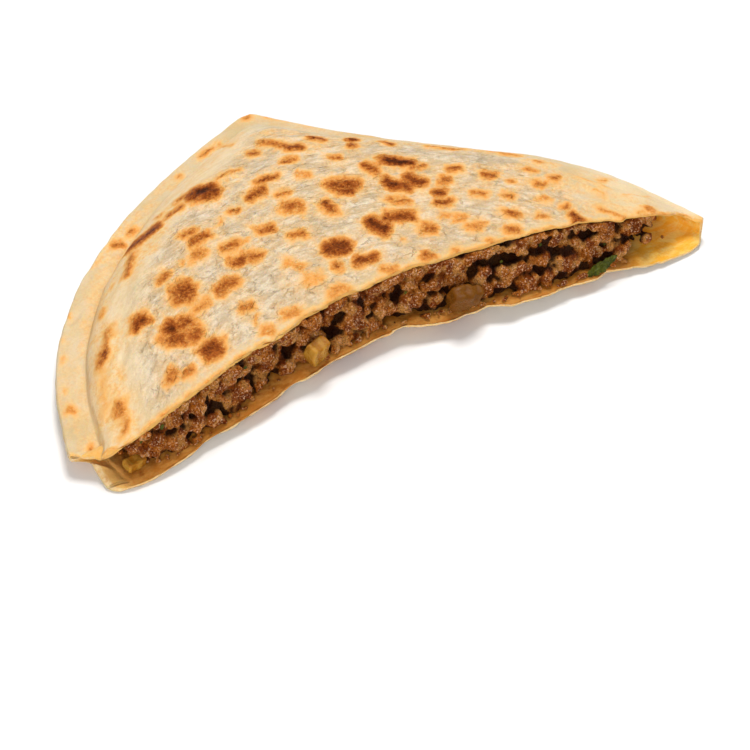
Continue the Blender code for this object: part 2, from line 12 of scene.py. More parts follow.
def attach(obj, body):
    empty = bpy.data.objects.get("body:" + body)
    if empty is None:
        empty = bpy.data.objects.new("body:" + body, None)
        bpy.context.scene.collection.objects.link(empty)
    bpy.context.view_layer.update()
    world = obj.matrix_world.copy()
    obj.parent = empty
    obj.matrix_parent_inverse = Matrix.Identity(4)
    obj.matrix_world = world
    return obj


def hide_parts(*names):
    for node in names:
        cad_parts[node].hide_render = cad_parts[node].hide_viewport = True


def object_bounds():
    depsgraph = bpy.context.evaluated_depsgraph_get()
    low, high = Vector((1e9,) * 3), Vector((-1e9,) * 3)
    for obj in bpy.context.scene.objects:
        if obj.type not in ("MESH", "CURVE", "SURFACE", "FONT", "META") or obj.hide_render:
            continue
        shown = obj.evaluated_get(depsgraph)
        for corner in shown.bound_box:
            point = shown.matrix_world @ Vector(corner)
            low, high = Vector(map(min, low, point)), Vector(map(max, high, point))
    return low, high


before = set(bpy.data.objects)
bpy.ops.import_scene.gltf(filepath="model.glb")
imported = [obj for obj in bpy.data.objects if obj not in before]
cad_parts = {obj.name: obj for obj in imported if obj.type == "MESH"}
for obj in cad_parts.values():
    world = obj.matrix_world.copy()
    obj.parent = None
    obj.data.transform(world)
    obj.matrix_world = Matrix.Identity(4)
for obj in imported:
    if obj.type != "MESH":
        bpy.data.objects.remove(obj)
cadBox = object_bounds()
mm = 0.001
print("frame loaded")

# The parcel's driving dimensions, in millimetres, as the part's own source has them, apart from the back
# corner, which is sharper here
parcel = {
    "leftCorner": (-116.3, 13.6), "backCorner": (29.6, 151.0), "rightCorner": (147.6, -1.0),
    "leftSideBow": 29, "leftBowSkew": 0.5, "rightSideBow": 15.8, "rightBowPower": 1.9,
    "backCornerRadius": 3, "centre": (16.03, 71.3), "topSheet": 2.6, "bottomSheet": 2.4,
    "archRise": 5.6, "archMiddle": 20, "archHalfLength": 118, "archDepth": 48,
    "innerRoof": 27, "roofBlendDepth": 60, "surfaceSwell": 0.7, "cutEdgeWave": 0.8, "pocketMargin": 1.0,
    # along the cut, as (x, value)
    "roofAtCut": ((-117, 17), (-95, 20.5), (-70, 24), (-40, 26.3), (12, 28.3), (56, 27.5), (95, 25),
                  (126, 19.5), (148, 12)),
    "topCutLine": ((-117, 13), (-98, 1.5), (-77, 4), (-51, 10), (8, 17.8), (25, 17.5), (56, 13.9),
                   (100, 8.6), (123, 3), (148, -1)),
    "bottomCutLine": ((-117, 13), (-112.5, 11), (-110.2, 8), (-109.6, -1), (-105.5, -4.6), (-96, -5.4),
                      (-84, -3.9), (-60, 0.4), (8, 9.8), (40, 4.6), (85, -2.6), (105, -2.6), (123, -5.4),
                      (136, -6.4), (144, -4.6), (148, -1)),
    "fillingSetback": ((-117, 10), (-97, 9), (-88, 3.2), (-60, 2.4), (-50, 3), (-42, 7.5), (-33, 6.5),
                       (-20, 3), (0, 2.4), (30, 3), (50, 1.4), (72, 3.4), (82, 1.4), (100, 2.2),
                       (126, 2), (148, 5)),
    # round the outer edge, as (share of the way, value)
    "flangeWidth": ((0, 11), (0.3, 9), (0.52, 7), (0.75, 7), (0.93, 4.5), (1, 2.5)),
    "flangeTop": ((0, 8.8), (0.3, 8.6), (0.52, 7.2), (0.75, 7.4), (0.93, 8.6), (1, 10.6)),
    "flangeBottom": ((0, 4.6), (0.52, 2.2), (0.8, 2.4), (1, 2.4)),
    "topRollOff": ((0, 30), (0.3, 34), (0.52, 44), (0.75, 38), (0.93, 24), (1, 14)),
    "bottomRollOff": ((0, 12), (0.52, 16), (1, 7)),
}
centre = np.array(parcel["centre"])

# The photo's camera, in millimetres, degrees and pixels. It looks at the parcel's own zero, and rays are
# followed down from the clear height
view = {
    "target": (-centre[0], -centre[1], 0), "distance": 850, "turn": -31, "elevation": 45,
    "mmPerPixel": 0.367, "pixels": 750, "clearHeight": 40, "halvings": 18,
}


# Shape functions shared by the pieces

def along(profile, x):
    # Cubic pieces through the profile's points, whose slopes are harmonic means, so that it never overshoots
    px, pv = np.array(profile, float).T
    secant = np.diff(pv) / np.diff(px)
    turns = secant[1:] * secant[:-1] <= 0
    total = np.where(turns, 1, secant[1:] + secant[:-1])
    inner = np.where(turns, 0, 2 * secant[1:] * secant[:-1] / total)
    slope = np.concatenate(([secant[0]], inner, [secant[-1]]))
    x = np.clip(x, px[0], px[-1])
    i = np.clip(np.searchsorted(px, x) - 1, 0, len(px) - 2)
    h = px[i + 1] - px[i]
    t = (x - px[i]) / h
    rise = pv[i + 1] - pv[i]
    return pv[i] + t * t * (3 - 2 * t) * rise + t * (1 - t) * h * ((1 - t) * slope[i] - t * slope[i + 1])


def smoothStep(t):
    t = np.clip(t, 0, 1)
    return t * t * (3 - 2 * t)


def quarterRound(t):
    return np.sqrt(np.clip(1 - (1 - np.clip(t, 0, 1)) ** 2, 0, 1))


def swell(x, y, wavelength, seed, waves=7, spread=(0.7, 1.6), damping=4):
    # Sine waves of seeded lengths and directions, added up, about -1 to 1
    draw = np.random.default_rng(seed)
    total = np.zeros(np.broadcast(x, y).shape)
    for _ in range(waves):
        angle = draw.uniform(0, math.tau)
        number = math.tau / (wavelength * draw.uniform(*spread))
        phase = draw.uniform(0, math.tau)
        total = total + np.sin(number * (x * math.cos(angle) + y * math.sin(angle)) + phase)
    return total / damping


def latticeValue(ix, iy, iz, seed):
    # A whole number mixed from the lattice point's own, scaled to -1..1
    mixed = (ix * 374761393 + iy * 668265263 + iz * 1274126177 + seed * 362437) & 0xFFFFFFFF
    mixed = ((mixed ^ (mixed >> 13)) * 1103515245) & 0xFFFFFFFF
    return (mixed ^ (mixed >> 16)) / 0x7FFFFFFF - 1


def roughness(points, size, seed, octaves=1, falloff=0.5):
    # Random values at the corners of cubes of that size, blended smoothly between them, in halving octaves
    total = np.zeros(len(points))
    for octave in range(octaves):
        place = points / (size * 0.5 ** octave)
        cell = np.floor(place).astype(np.int64)
        t = place - cell
        t = t * t * (3 - 2 * t)
        value = np.zeros(len(points))
        for corner in range(8):
            dx, dy, dz = corner & 1, corner >> 1 & 1, corner >> 2 & 1
            weight = ((t[:, 0] if dx else 1 - t[:, 0]) * (t[:, 1] if dy else 1 - t[:, 1])
                      * (t[:, 2] if dz else 1 - t[:, 2]))
            ix, iy, iz = (cell + (dx, dy, dz)).T
            value += weight * latticeValue(ix, iy, iz, seed + 17 * octave)
        total += value * falloff ** octave
    return total


def roughness2(x, y, size, seed, octaves=1):
    return roughness(np.stack((x, y, np.zeros(len(x))), axis=1), size, seed, octaves)


def resample(points, count):
    length = np.concatenate(([0], np.cumsum(np.hypot(*np.diff(points, axis=0).T))))
    even = np.linspace(0, length[-1], count)
    return np.stack([np.interp(even, length, points[:, k]) for k in (0, 1)], axis=1)


def bowedSide(start, end, bow):
    # A straight side pushed outwards by bow(t), with t from 0 to 1 along it
    t = np.linspace(0, 1, 400)
    chord = np.array(end) - start
    normal = np.array((-chord[1], chord[0])) / np.hypot(*chord)
    return start + t[:, None] * chord + bow(t)[:, None] * normal


def outerEdge():
    # Two bowed sides joined at the back corner, which a moving average of a bell's weights rounds
    p = parcel
    left = bowedSide(np.array(p["leftCorner"]), p["backCorner"],
                     lambda t: p["leftSideBow"] * 4 * t * (1 - t) * (1 - p["leftBowSkew"] * (t - 0.4)))
    right = bowedSide(np.array(p["backCorner"]), p["rightCorner"],
                      lambda t: p["rightSideBow"] * np.sin(math.pi * t ** p["rightBowPower"]))
    line = resample(np.concatenate((left, right[1:])), 1200)
    step = np.hypot(*(line[1] - line[0]))
    reach = int(3 * p["backCornerRadius"] / step)
    weight = np.exp(-0.5 * (np.arange(-reach, reach + 1) * step / p["backCornerRadius"]) ** 2)
    before = 2 * line[0] - line[reach:0:-1]
    beyond = 2 * line[-1] - line[-2:-reach - 2:-1]
    padded = np.concatenate((before, line, beyond))
    rounded = np.stack([np.convolve(padded[:, k], weight / weight.sum(), "valid") for k in (0, 1)], axis=1)
    return resample(rounded, 600)


edge = outerEdge()
edgeShare = np.linspace(0, 1, len(edge))
cornerAt = int(np.hypot(*(edge - parcel["backCorner"]).T).argmin())


def nearestOnLine(x, y, line, share):
    # The nearest of the line's points, then the nearer place on the two straight pieces beside it
    nearest = ((x[:, None] - line[:, 0]) ** 2 + (y[:, None] - line[:, 1]) ** 2).argmin(axis=1)
    best = np.full(len(x), 1e9)
    at = np.zeros(len(x))
    for side in (-1, 0):
        i = np.clip(nearest + side, 0, len(line) - 2)
        step = line[i + 1] - line[i]
        dx, dy = x - line[i, 0], y - line[i, 1]
        t = np.clip((dx * step[:, 0] + dy * step[:, 1]) / (step ** 2).sum(axis=1), 0, 1)
        distance = np.hypot(dx - t * step[:, 0], dy - t * step[:, 1])
        closer = distance < best
        best = np.where(closer, distance, best)
        at = np.where(closer, share[i] + t * (share[i + 1] - share[i]), at)
    return best, at


def edgeDistance(x, y):
    # Distances to the two outer sides, blended smoothly where they are alike, and the share of the way round
    left, atLeft = nearestOnLine(x, y, edge[:cornerAt + 1], edgeShare[:cornerAt + 1])
    right, atRight = nearestOnLine(x, y, edge[cornerAt:], edgeShare[cornerAt:])
    soft = np.minimum(0.2 * np.minimum(left, right), 7) + 0.01
    apart = np.clip((left - right) / soft, -40, 40)
    inside = np.minimum(left, right) - soft * np.log1p(np.exp(-np.abs(apart)))
    weight = 1 / (1 + np.exp(apart))
    return np.maximum(inside, 0), weight * atLeft + (1 - weight) * atRight


def insetEdge(margin):
    tangent = np.gradient(edge, axis=0)
    inward = np.stack((tangent[:, 1], -tangent[:, 0]), axis=1) / np.hypot(*tangent.T)[:, None]
    width = along(parcel["flangeWidth"], edgeShare) + margin - 2 * smoothStep((edgeShare - 0.95) / 0.05)
    moved = edge + inward * width[:, None]
    clear = np.hypot(moved[:, None, 0] - edge[:, 0], moved[:, None, 1] - edge[:, 1]).min(axis=1)
    return resample(moved[clear > 0.97 * width], 600)


def plainTop(x, y):
    # The flange, then a quarter of an ellipse up to the domed roof
    inside, u = edgeDistance(x, y)
    blend = smoothStep(y / parcel["roofBlendDepth"])
    roof = along(parcel["roofAtCut"], x) * (1 - blend) + parcel["innerRoof"] * blend
    roof = roof + parcel["surfaceSwell"] * swell(x * mm, y * mm, 34 * mm, 3)
    flange = along(parcel["flangeTop"], u)
    # Away from the cut the left shoulder starts less steeply than a quarter of an ellipse
    soft = smoothStep((0.68 - u) / 0.1) * smoothStep((y - along(parcel["topCutLine"], x) - 3) / 14)
    within = np.maximum(inside - along(parcel["flangeWidth"], u), 0)
    within = within * (1 - soft * np.exp(-within / 9))
    # and has no step beside the flange on the upper left
    beside = np.exp(-np.abs(inside - along(parcel["flangeWidth"], u)) / 4)
    filled = 1.9 * soft * smoothStep((u - 0.27) / 0.1) * beside
    return flange + filled + (roof - flange - filled) * quarterRound(within / along(parcel["topRollOff"], u))


def towardsCamera():
    turn, elevation = math.radians(view["turn"]), math.radians(view["elevation"])
    level = math.cos(elevation)
    return np.array((math.sin(turn) * level, -math.cos(turn) * level, math.sin(elevation)))


def seenOnTop(px, py):
    # Where the photo's pixels lie on the plain top, in millimetres from the frame's middle: the height on
    # the camera's ray is halved in on, between the floor and the clear height
    turn, back = math.radians(view["turn"]), towardsCamera()
    right = np.array((math.cos(turn), math.sin(turn), 0))
    up = np.cross(back, right)
    target, middle = np.array(view["target"]), view["pixels"] / 2
    aim = target + view["mmPerPixel"] * (np.outer(px - middle, right) + np.outer(middle - py, up))
    eye = target + view["distance"] * back
    below, above = np.zeros(len(px)), np.full(len(px), float(view["clearHeight"]))
    for _ in range(view["halvings"]):
        z = (below + above) / 2
        place = eye + (aim - eye) * ((eye[2] - z) / (eye[2] - aim[:, 2]))[:, None]
        under = z < plainTop(*(place[:, :2] + centre).T)
        below, above = np.where(under, z, below), np.where(under, above, z)
    return place[:, :2]


def plainBottom(x, y):
    # Flat on the table, raised under the flange and in an arch along the middle of the cut
    inside, u = edgeDistance(x, y)
    length = np.clip(1 - ((x - parcel["archMiddle"]) / parcel["archHalfLength"]) ** 2, 0, 1)
    depth = (y - along(parcel["bottomCutLine"], x)) / parcel["archDepth"]
    arch = parcel["archRise"] * length * (1 - smoothStep(depth))
    flange = along(parcel["flangeBottom"], u)
    foot = 0.7 * along(parcel["flangeWidth"], u)
    lifted = quarterRound((inside - foot) / along(parcel["bottomRollOff"], u))
    return arch * lifted + flange * (1 - lifted)


def easedShares(count):
    t = np.linspace(0, 1, count)
    return 0.55 * t + 0.45 * (1 - np.cos(math.pi * t)) / 2


def pointsAlong(line, count):
    place = easedShares(count) * (len(line) - 1)
    return np.stack([np.interp(place, np.arange(len(line)), line[:, k]) for k in (0, 1)], axis=1)


def cutPoints(profile, start, end, count, waveSeed, fray, mouth=0, flaps=(), ruffle=0):
    # The cut line with the part's slow waves, and a finer fray that dies out at both tips. The mouth is
    # drawn back near the right tip, and each flap of (x, reach, width) stands forward
    x = np.linspace(start[0], end[0], 2400)
    share = (x - x[0]) / (x[-1] - x[0])
    calm = np.minimum(1, 6 * share * (1 - share))
    y = along(profile, x) + parcel["cutEdgeWave"] * calm * swell(x * mm, 0 * x, 19 * mm, waveSeed)
    fine = 0.6 * roughness2(x, 0 * x, 4.6, waveSeed, 2) + 0.4 * roughness2(x, 0 * x, 1.7, waveSeed + 5)
    y = y + fray * calm * fine
    y = y + ruffle * calm * roughness2(x, 0 * x, 8.5, waveSeed + 9, 2)
    y = y + mouth * smoothStep((x - 131) / 8) * smoothStep((x[-1] - x) / 7)
    for middle, reach, width in flaps:
        y = y - reach * np.exp(-((x - middle) / width) ** 2)
    y = y + (start[1] - y[0]) * np.clip(1 - (x - x[0]) / 3, 0, 1)
    y = y + (end[1] - y[-1]) * np.clip(1 - (x[-1] - x) / 3, 0, 1)
    return pointsAlong(resample(np.stack((x, y), axis=1), 2400), count)


def fillingFace(x):
    return along(parcel["bottomCutLine"], x) + along(parcel["fillingSetback"], x)


def facesBetween(rowCount, count):
    # Four-cornered faces from each row of points to the next, and from the last row to the first
    index = np.arange(rowCount * count).reshape(rowCount, count)
    after = np.roll(index, -1, axis=0)
    return np.stack((index[:, :-1], index[:, 1:], after[:, 1:], after[:, :-1]), axis=-1).reshape(-1, 4)


def meshObject(name, points, faces, marks=None, weld=0.004):
    # Points in parcel millimetres and faces of point numbers become a closed mesh in the frame
    place = (np.asarray(points, float) - (*centre, 0)) * mm
    low, high = [np.array(corner) for corner in cadBox]
    place = np.clip(place, low + 0.02 * mm, high - 0.02 * mm)
    mesh = bpy.data.meshes.new(name)
    mesh.from_pydata(place.tolist(), [], faces.tolist())
    for mark, value in (marks or {}).items():
        kind = "FLOAT" if value.ndim == 1 else "FLOAT_VECTOR"
        layer = mesh.attributes.new(mark, kind, "POINT")
        layer.data.foreach_set("value" if kind == "FLOAT" else "vector", value.astype(np.float32).ravel())
    shape = bmesh.new()
    shape.from_mesh(mesh)
    bmesh.ops.remove_doubles(shape, verts=shape.verts, dist=weld * mm)
    bmesh.ops.dissolve_degenerate(shape, edges=shape.edges, dist=1e-7)
    bmesh.ops.recalc_face_normals(shape, faces=shape.faces)
    shape.to_mesh(mesh)
    shape.free()
    mesh.shade_smooth()
    made = bpy.data.objects.new(name, mesh)
    bpy.context.scene.collection.objects.link(made)
    return made


def dress(piece, material, slot, *nodes):
    piece.data.materials.clear()
    piece.data.materials.append(material)
    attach(piece, "root")
    if nodes:
        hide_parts(*nodes)
    return piece


# Shader helpers

class Paint:
    # A material and short calls that add nodes to it; a socket given as a value is linked
    def __init__(self, name):
        self.material = bpy.data.materials.new(name)
        self.material.use_nodes = True
        self.tree = self.material.node_tree
        self.surface = self.tree.nodes["Principled BSDF"]
        coordinates = self.tree.nodes.new("ShaderNodeTexCoord")
        self.place = self.mapping(coordinates.outputs["Object"], (1000, 1000, 1000))  # millimetres

    def put(self, socket, value):
        if isinstance(value, bpy.types.NodeSocket):
            self.tree.links.new(value, socket)
        else:
            socket.default_value = value

    def mapping(self, vector, scale, rotation=(0, 0, 0), location=(0, 0, 0)):
        made = self.tree.nodes.new("ShaderNodeMapping")
        self.put(made.inputs["Vector"], vector)
        self.put(made.inputs["Scale"], scale)
        self.put(made.inputs["Rotation"], rotation)
        self.put(made.inputs["Location"], location)
        return made.outputs["Vector"]

    def shaken(self, vector, scale, amount):
        # The vector moved by a noise of three parts
        source = self.tree.nodes.new("ShaderNodeTexNoise")
        self.put(source.inputs["Vector"], vector)
        self.put(source.inputs["Scale"], scale)
        offset = self.tree.nodes.new("ShaderNodeVectorMath")
        offset.operation = "MULTIPLY_ADD"
        self.put(offset.inputs[0], source.outputs["Color"])
        self.put(offset.inputs[1], (amount, amount, amount))
        self.put(offset.inputs[2], vector)
        return offset.outputs[0]

    def attribute(self, name, vector=False):
        made = self.tree.nodes.new("ShaderNodeAttribute")
        made.attribute_name = name
        return made.outputs["Vector" if vector else "Fac"]

    def noise(self, vector, scale, detail=2.0, rough=0.5, distortion=0.0):
        made = self.tree.nodes.new("ShaderNodeTexNoise")
        for key, value in (("Vector", vector), ("Scale", scale), ("Detail", detail), ("Roughness", rough),
                           ("Distortion", distortion)):
            self.put(made.inputs[key], value)
        return made.outputs["Fac"]

    def cells(self, vector, scale, output="Distance", feature="F1"):
        made = self.tree.nodes.new("ShaderNodeTexVoronoi")
        made.feature = feature
        self.put(made.inputs["Vector"], vector)
        self.put(made.inputs["Scale"], scale)
        return made.outputs[output]

    def pit(self, place, radii, turn):
        # 1 inside an ellipsoid about a place in the frame's millimetres, 0 beyond it
        inside = self.mapping(self.place, radii, tuple(math.radians(angle) for angle in turn), place)
        inside.node.vector_type = "TEXTURE"
        length = self.tree.nodes.new("ShaderNodeVectorMath")
        length.operation = "LENGTH"
        self.put(length.inputs[0], inside)
        return self.span(length.outputs["Value"], 1.0, 0.5)

    def math(self, operation, a, b=0.0, c=None, clamp=False):
        made = self.tree.nodes.new("ShaderNodeMath")
        made.operation = operation
        made.use_clamp = clamp
        for number, value in enumerate((a, b, c)):
            if value is not None:
                self.put(made.inputs[number], value)
        return made.outputs[0]

    def times(self, a, b, clamp=False):
        return self.math("MULTIPLY", a, b, clamp=clamp)

    def span(self, value, low, high, outLow=0.0, outHigh=1.0):
        made = self.tree.nodes.new("ShaderNodeMapRange")
        made.interpolation_type = "SMOOTHSTEP"
        for key, given in (("Value", value), ("From Min", low), ("From Max", high), ("To Min", outLow),
                           ("To Max", outHigh)):
            self.put(made.inputs[key], given)
        return made.outputs["Result"]

    def ramp(self, factor, stops):
        made = self.tree.nodes.new("ShaderNodeValToRGB")
        elements = made.color_ramp.elements
        while len(elements) < len(stops):
            elements.new(0.5)
        for element, (position, colour) in zip(elements, stops):
            element.position = position
            element.color = (*colour, 1)
        self.put(made.inputs["Fac"], factor)
        return made.outputs["Color"]

    def mix(self, factor, a, b, blend="MIX"):
        made = self.tree.nodes.new("ShaderNodeMix")
        made.data_type = "RGBA"
        made.blend_type = blend
        self.put(made.inputs[0], factor)
        for number, colour in ((6, a), (7, b)):
            linked = isinstance(colour, bpy.types.NodeSocket)
            self.put(made.inputs[number], colour if linked else (*colour, 1))
        return made.outputs[2]

    def bump(self, height, distance, strength=1.0, normal=None):
        made = self.tree.nodes.new("ShaderNodeBump")
        self.put(made.inputs["Height"], height)
        self.put(made.inputs["Distance"], distance * mm)
        self.put(made.inputs["Strength"], strength)
        if normal is not None:
            self.put(made.inputs["Normal"], normal)
        return made.outputs["Normal"]

    def finish(self, **sockets):
        for key, value in sockets.items():
            self.put(self.surface.inputs[key], value)
        return self.material


# The dough

dough = {
    "stations": 360, "cutEdgeFray": 0.5, "grainCentre": (-20, -132), "grainSpan": 150, "mouth": 3.6,
    "rimWave": 0.9, "ruffle": 0.7,
    # toasted spots: trim of the radius, share of the heat, shortening of the short ones, shift, stretch away
    # from the camera, as the photo foreshortens them, and the two shakes of their outlines: reach and size
    "spotTrim": 0.85, "spotHeat": 0.94, "shortSpot": 9, "spotShortening": 0.74, "spotShift": (-0.35, -0.6),
    "spotStretch": 1.36, "spotStretchWay": (0.515, 0.857), "spotShakes": (1.15, 5.0, 0.35, 1.1),
    # colour by heat, from straw to burnt
    "browning": ((0.0, (0.86, 0.59, 0.27)), (0.12, (0.86, 0.475, 0.15)), (0.24, (0.78, 0.325, 0.070)),
                 (0.37, (0.61, 0.205, 0.033)), (0.52, (0.43, 0.110, 0.013)), (0.66, (0.29, 0.064, 0.007)),
                 (0.80, (0.18, 0.036, 0.003)), (1.0, (0.065, 0.013, 0.002))),
    # loose bits of the cut edges: x along the cut, how far they stand forward, width
    "upperFlaps": ((-36, 1.3, 2.2), (-31, 0.6, 1.2), (111, 1.5, 2.4), (64, 0.6, 1.5), (-84, 0.5, 1.5),
                   (22, 0.5, 1.3)),
    "lowerFlaps": ((125.5, 1.6, 1.2), (-70, 0.7, 2.5), (-20, 0.6, 2), (60, 0.7, 2.5)),
    # two small slits in the left flange's rim: place in the frame, radii, turn in degrees
    "slits": (((-130.2, -58.6, 7.3), (2.6, 2.6, 1.1), (0, 0, 0)),
              ((-121.6, -73.0, 1.6), (4.2, 1.0, 1.6), (0, 0, -14))),
    "rowsToGroove": 150, "rowsOnFlange": 26, "rowsRoundRim": 9, "rowsBeneath": 24, "rowsOfLip": 7,
    "rowsInPocket": 17, "wrinkle": 0.56, "fineWrinkle": 0.18, "blister": 0.75, "crust": 0.28,
    # the groove beside the flange: depth by share of the way round
    "groove": ((0, 1.1), (0.2, 0.95), (0.28, 0.6), (0.35, 0.2), (0.45, 0.05), (0.7, 0.1), (1, 0)),
    "grooveWidth": 0.95, "hemCrimp": 0.24, "innerRidge": 0.6,
    # folds that run to the right tip: (bearing in degrees from the tip, height, width in degrees)
    "tipFolds": ((131, 0.5, 3), (139, -0.55, 2), (146, 0.55, 3), (153, -0.6, 2), (160, 0.4, 2.5)),
    "lipThickness": 1.4, "upperLipThickness": 1.15, "lipTaper": 5,
}

# Toasted spots: two ends in the photo's pixels, radius in millimetres, heat. The pixels were read off the
# enlarged photo, and about a quarter of the spots stand a little off that reading. A round spot has
# both ends close together, and heat runs from 0.2, yellow, to over 1, burnt.
toastSpots = (
    (246, 113, 249, 112, 2.2, 0.5), (201, 155, 213, 146, 1.4, 0.48), (219, 143, 232, 145, 1.1, 0.35),
    (247, 153, 257, 151, 1.8, 0.65), (262, 141, 288, 146, 2, 0.54), (289, 147, 303, 146, 1.8, 0.85),
    (311, 137, 324, 139, 1.8, 0.75), (352, 139, 354, 139, 2.3, 0.95), (352, 145, 353, 145, 1.8, 0.88),
    (382, 142, 393, 144, 1.6, 0.78), (282, 161, 295, 158, 1.8, 0.62), (329, 157, 341, 157, 1.3, 0.74),
    (384, 158, 410, 163, 2.3, 1.08), (419, 166, 429, 165, 1.3, 0.5), (445, 170, 466, 167, 1.8, 0.55),
    (258, 180, 277, 174, 1.8, 0.8), (295, 174, 315, 174, 1.8, 0.35), (362, 164, 379, 170, 2.2, 0.65),
    (332, 183, 356, 183, 3.3, 0.61), (338, 190, 350, 190, 1.8, 0.95), (385, 180, 407, 187, 2.2, 0.88),
    (405, 175, 424, 183, 2.6, 0.8), (436, 190, 444, 190, 1.6, 0.95), (440, 179, 451, 180, 1.8, 0.6),
    (433, 200, 454, 200, 1.8, 0.66), (470, 190, 488, 194, 1.8, 0.45), (387, 197, 411, 200, 1.5, 0.58),
    (249, 197, 264, 190, 1.8, 0.9), (277, 193, 290, 190, 1.8, 0.5), (283, 206, 301, 206, 3.1, 0.48),
    (322, 204, 325, 204, 1.8, 0.8), (329, 206, 335, 208, 2.2, 0.65), (369, 222, 388, 227, 3.1, 0.98),
    (388, 213, 413, 215, 2.6, 0.71), (421, 226, 436, 227, 2.6, 0.52), (440, 213, 447, 214, 1.9, 0.28),
    (450, 217, 470, 218, 1.6, 0.38), (465, 225, 485, 227, 2.4, 0.33), (257, 230, 274, 225, 2.2, 0.68),
    (290, 236, 307, 233, 1.8, 0.55), (327, 250, 344, 245, 3.7, 0.9), (336, 265, 340, 266, 1.5, 0.75),
    (358, 260, 376, 255, 2.6, 0.74), (421, 255, 433, 255, 2.2, 0.6), (426, 254, 427, 254, 0.9, 0.85),
    (450, 248, 460, 248, 1.8, 0.31), (382, 269, 396, 269, 2.6, 0.34), (306, 278, 320, 276, 4, 0.25),
    (332, 291, 346, 288, 3.3, 0.3), (284, 314, 297, 310, 3.3, 0.36), (242, 306, 252, 302, 1.8, 0.5),
    (257, 313, 254, 322, 1.8, 0.25), (236, 260, 243, 256, 2.2, 0.66), (249, 256, 263, 253, 2.6, 0.54),
    (238, 243, 247, 239, 2.4, 0.26), (286, 262, 304, 267, 3, 0.28), (201, 191, 205, 190, 2.6, 1.25),
    (194, 194, 213, 190, 4.2, 0.82), (177, 201, 198, 190, 2.2, 0.46), (206, 191, 218, 190, 1.6, 0.75),
    (217, 178, 238, 169, 1.3, 0.5), (167, 217, 183, 206, 1.8, 0.65), (157, 217, 161, 215, 1.8, 0.35),
    (130, 249, 155, 227, 2.9, 0.9), (113, 245, 122, 242, 1.8, 0.62), (131, 231, 134, 229, 1.8, 0.5),
    (133, 254, 127, 274, 2.2, 0.45), (110, 289, 115, 282, 2, 0.2), (104, 307, 103, 317, 2.2, 0.25),
    (229, 211, 238, 209, 1.1, 0.65), (182, 235, 194, 230, 2.2, 0.52), (192, 242, 212, 233, 2.2, 0.61),
    (192, 258, 203, 250, 2.6, 0.4), (180, 263, 183, 262, 1.3, 0.4), (223, 248, 238, 241, 2.8, 0.49),
    (232, 263, 240, 258, 2.2, 0.56), (214, 224, 223, 219, 1.3, 0.3), (159, 282, 166, 271, 2.2, 0.47),
    (181, 290, 186, 289, 3, 0.66), (181, 290, 186, 289, 5.2, 0.6), (220, 291, 232, 281, 3.2, 0.52),
    (195, 310, 206, 298, 2.8, 0.34), (136, 325, 142, 319, 3.1, 0.74), (168, 326, 169, 326, 3.1, 1),
    (180, 322, 184, 320, 2.7, 0.6), (174, 339, 179, 338, 3.3, 0.68), (194, 334, 196, 332, 2.9, 0.64),
    (172, 334, 186, 330, 6.2, 0.44), (210, 350, 212, 348, 4.2, 0.86), (171, 374, 172, 372, 3.5, 0.42),
    (188, 372, 190, 370, 2.6, 0.5), (110, 328, 100, 364, 2.5, 0.34), (103, 348, 101, 360, 1.5, 0.8),
    (104, 369, 104, 409, 3.1, 0.17), (118, 405, 122, 410, 2.6, 0.48), (125, 419, 124, 432, 2.4, 0.38),
    (124, 397, 120, 403, 3.2, 0.17), (68, 312, 68, 316, 1.8, 0.24), (61, 338, 62, 340, 1.8, 0.22),
    (61, 359, 61, 361, 2.2, 0.22), (68, 388, 68, 390, 1.8, 0.22), (68, 408, 76, 412, 1.8, 0.36),
    (89, 444, 95, 451, 0.7, 0.55), (219, 342, 225, 336, 2.2, 0.3), (530, 160, 547, 163, 1.3, 0.4),
    (524, 168, 538, 170, 1.8, 0.37), (483, 173, 495, 174, 2.2, 0.6), (506, 180, 515, 181, 1.3, 0.45),
    (533, 181, 546, 185, 1.8, 0.42), (500, 195, 515, 195, 1.8, 0.45), (537, 198, 552, 198, 1.8, 0.34),
    (563, 206, 568, 206, 1.3, 0.6), (503, 212, 521, 212, 2.1, 0.62), (508, 212, 513, 212, 1.1, 0.9),
    (532, 216, 554, 217, 1.6, 0.42), (572, 213, 578, 221, 2.2, 0.85), (503, 227, 523, 229, 2.3, 0.5),
    (475, 222, 490, 223, 1.8, 0.33), (487, 240, 494, 240, 1.9, 0.36), (599, 207, 622, 215, 1.3, 0.36),
    (620, 220, 628, 219, 1.3, 0.6), (645, 206, 650, 210, 1.4, 0.5), (649, 209, 656, 212, 1.6, 0.3),
    (636, 213, 647, 213, 1.5, 0.3), (578, 175, 607, 187, 1.5, 0.22), (622, 195, 647, 196, 1.1, 0.18),
    (587, 189, 610, 194, 1.3, 0.22), (551, 178, 556, 179, 1.7, 0.62), (597, 178, 608, 180, 0.9, 0.4),
    (452, 213, 456, 214, 1.3, 0.3), (400, 240, 404, 241, 0.9, 0.25), (300, 216, 304, 217, 0.9, 0.2),
    (249, 118, 249, 116, 1.8, 0.42), (430, 146, 463, 149, 1.5, 0.38), (485, 151, 519, 155, 1.5, 0.38),
    (260, 329, 276, 329, 2.4, 0.33), (177, 178, 180, 175, 1.5, 0.35), (205, 153, 209, 149, 1.6, 0.38),
    (595, 184, 605, 180, 1, 0.2),
)

# The same along the right side's rim, which the photo shows edge on, so in millimetres from the frame's
# middle
rimSpots = ((18, 74, 62, 33, 1.0, 0.3), (64, 31, 86, -4, 1.1, 0.6))
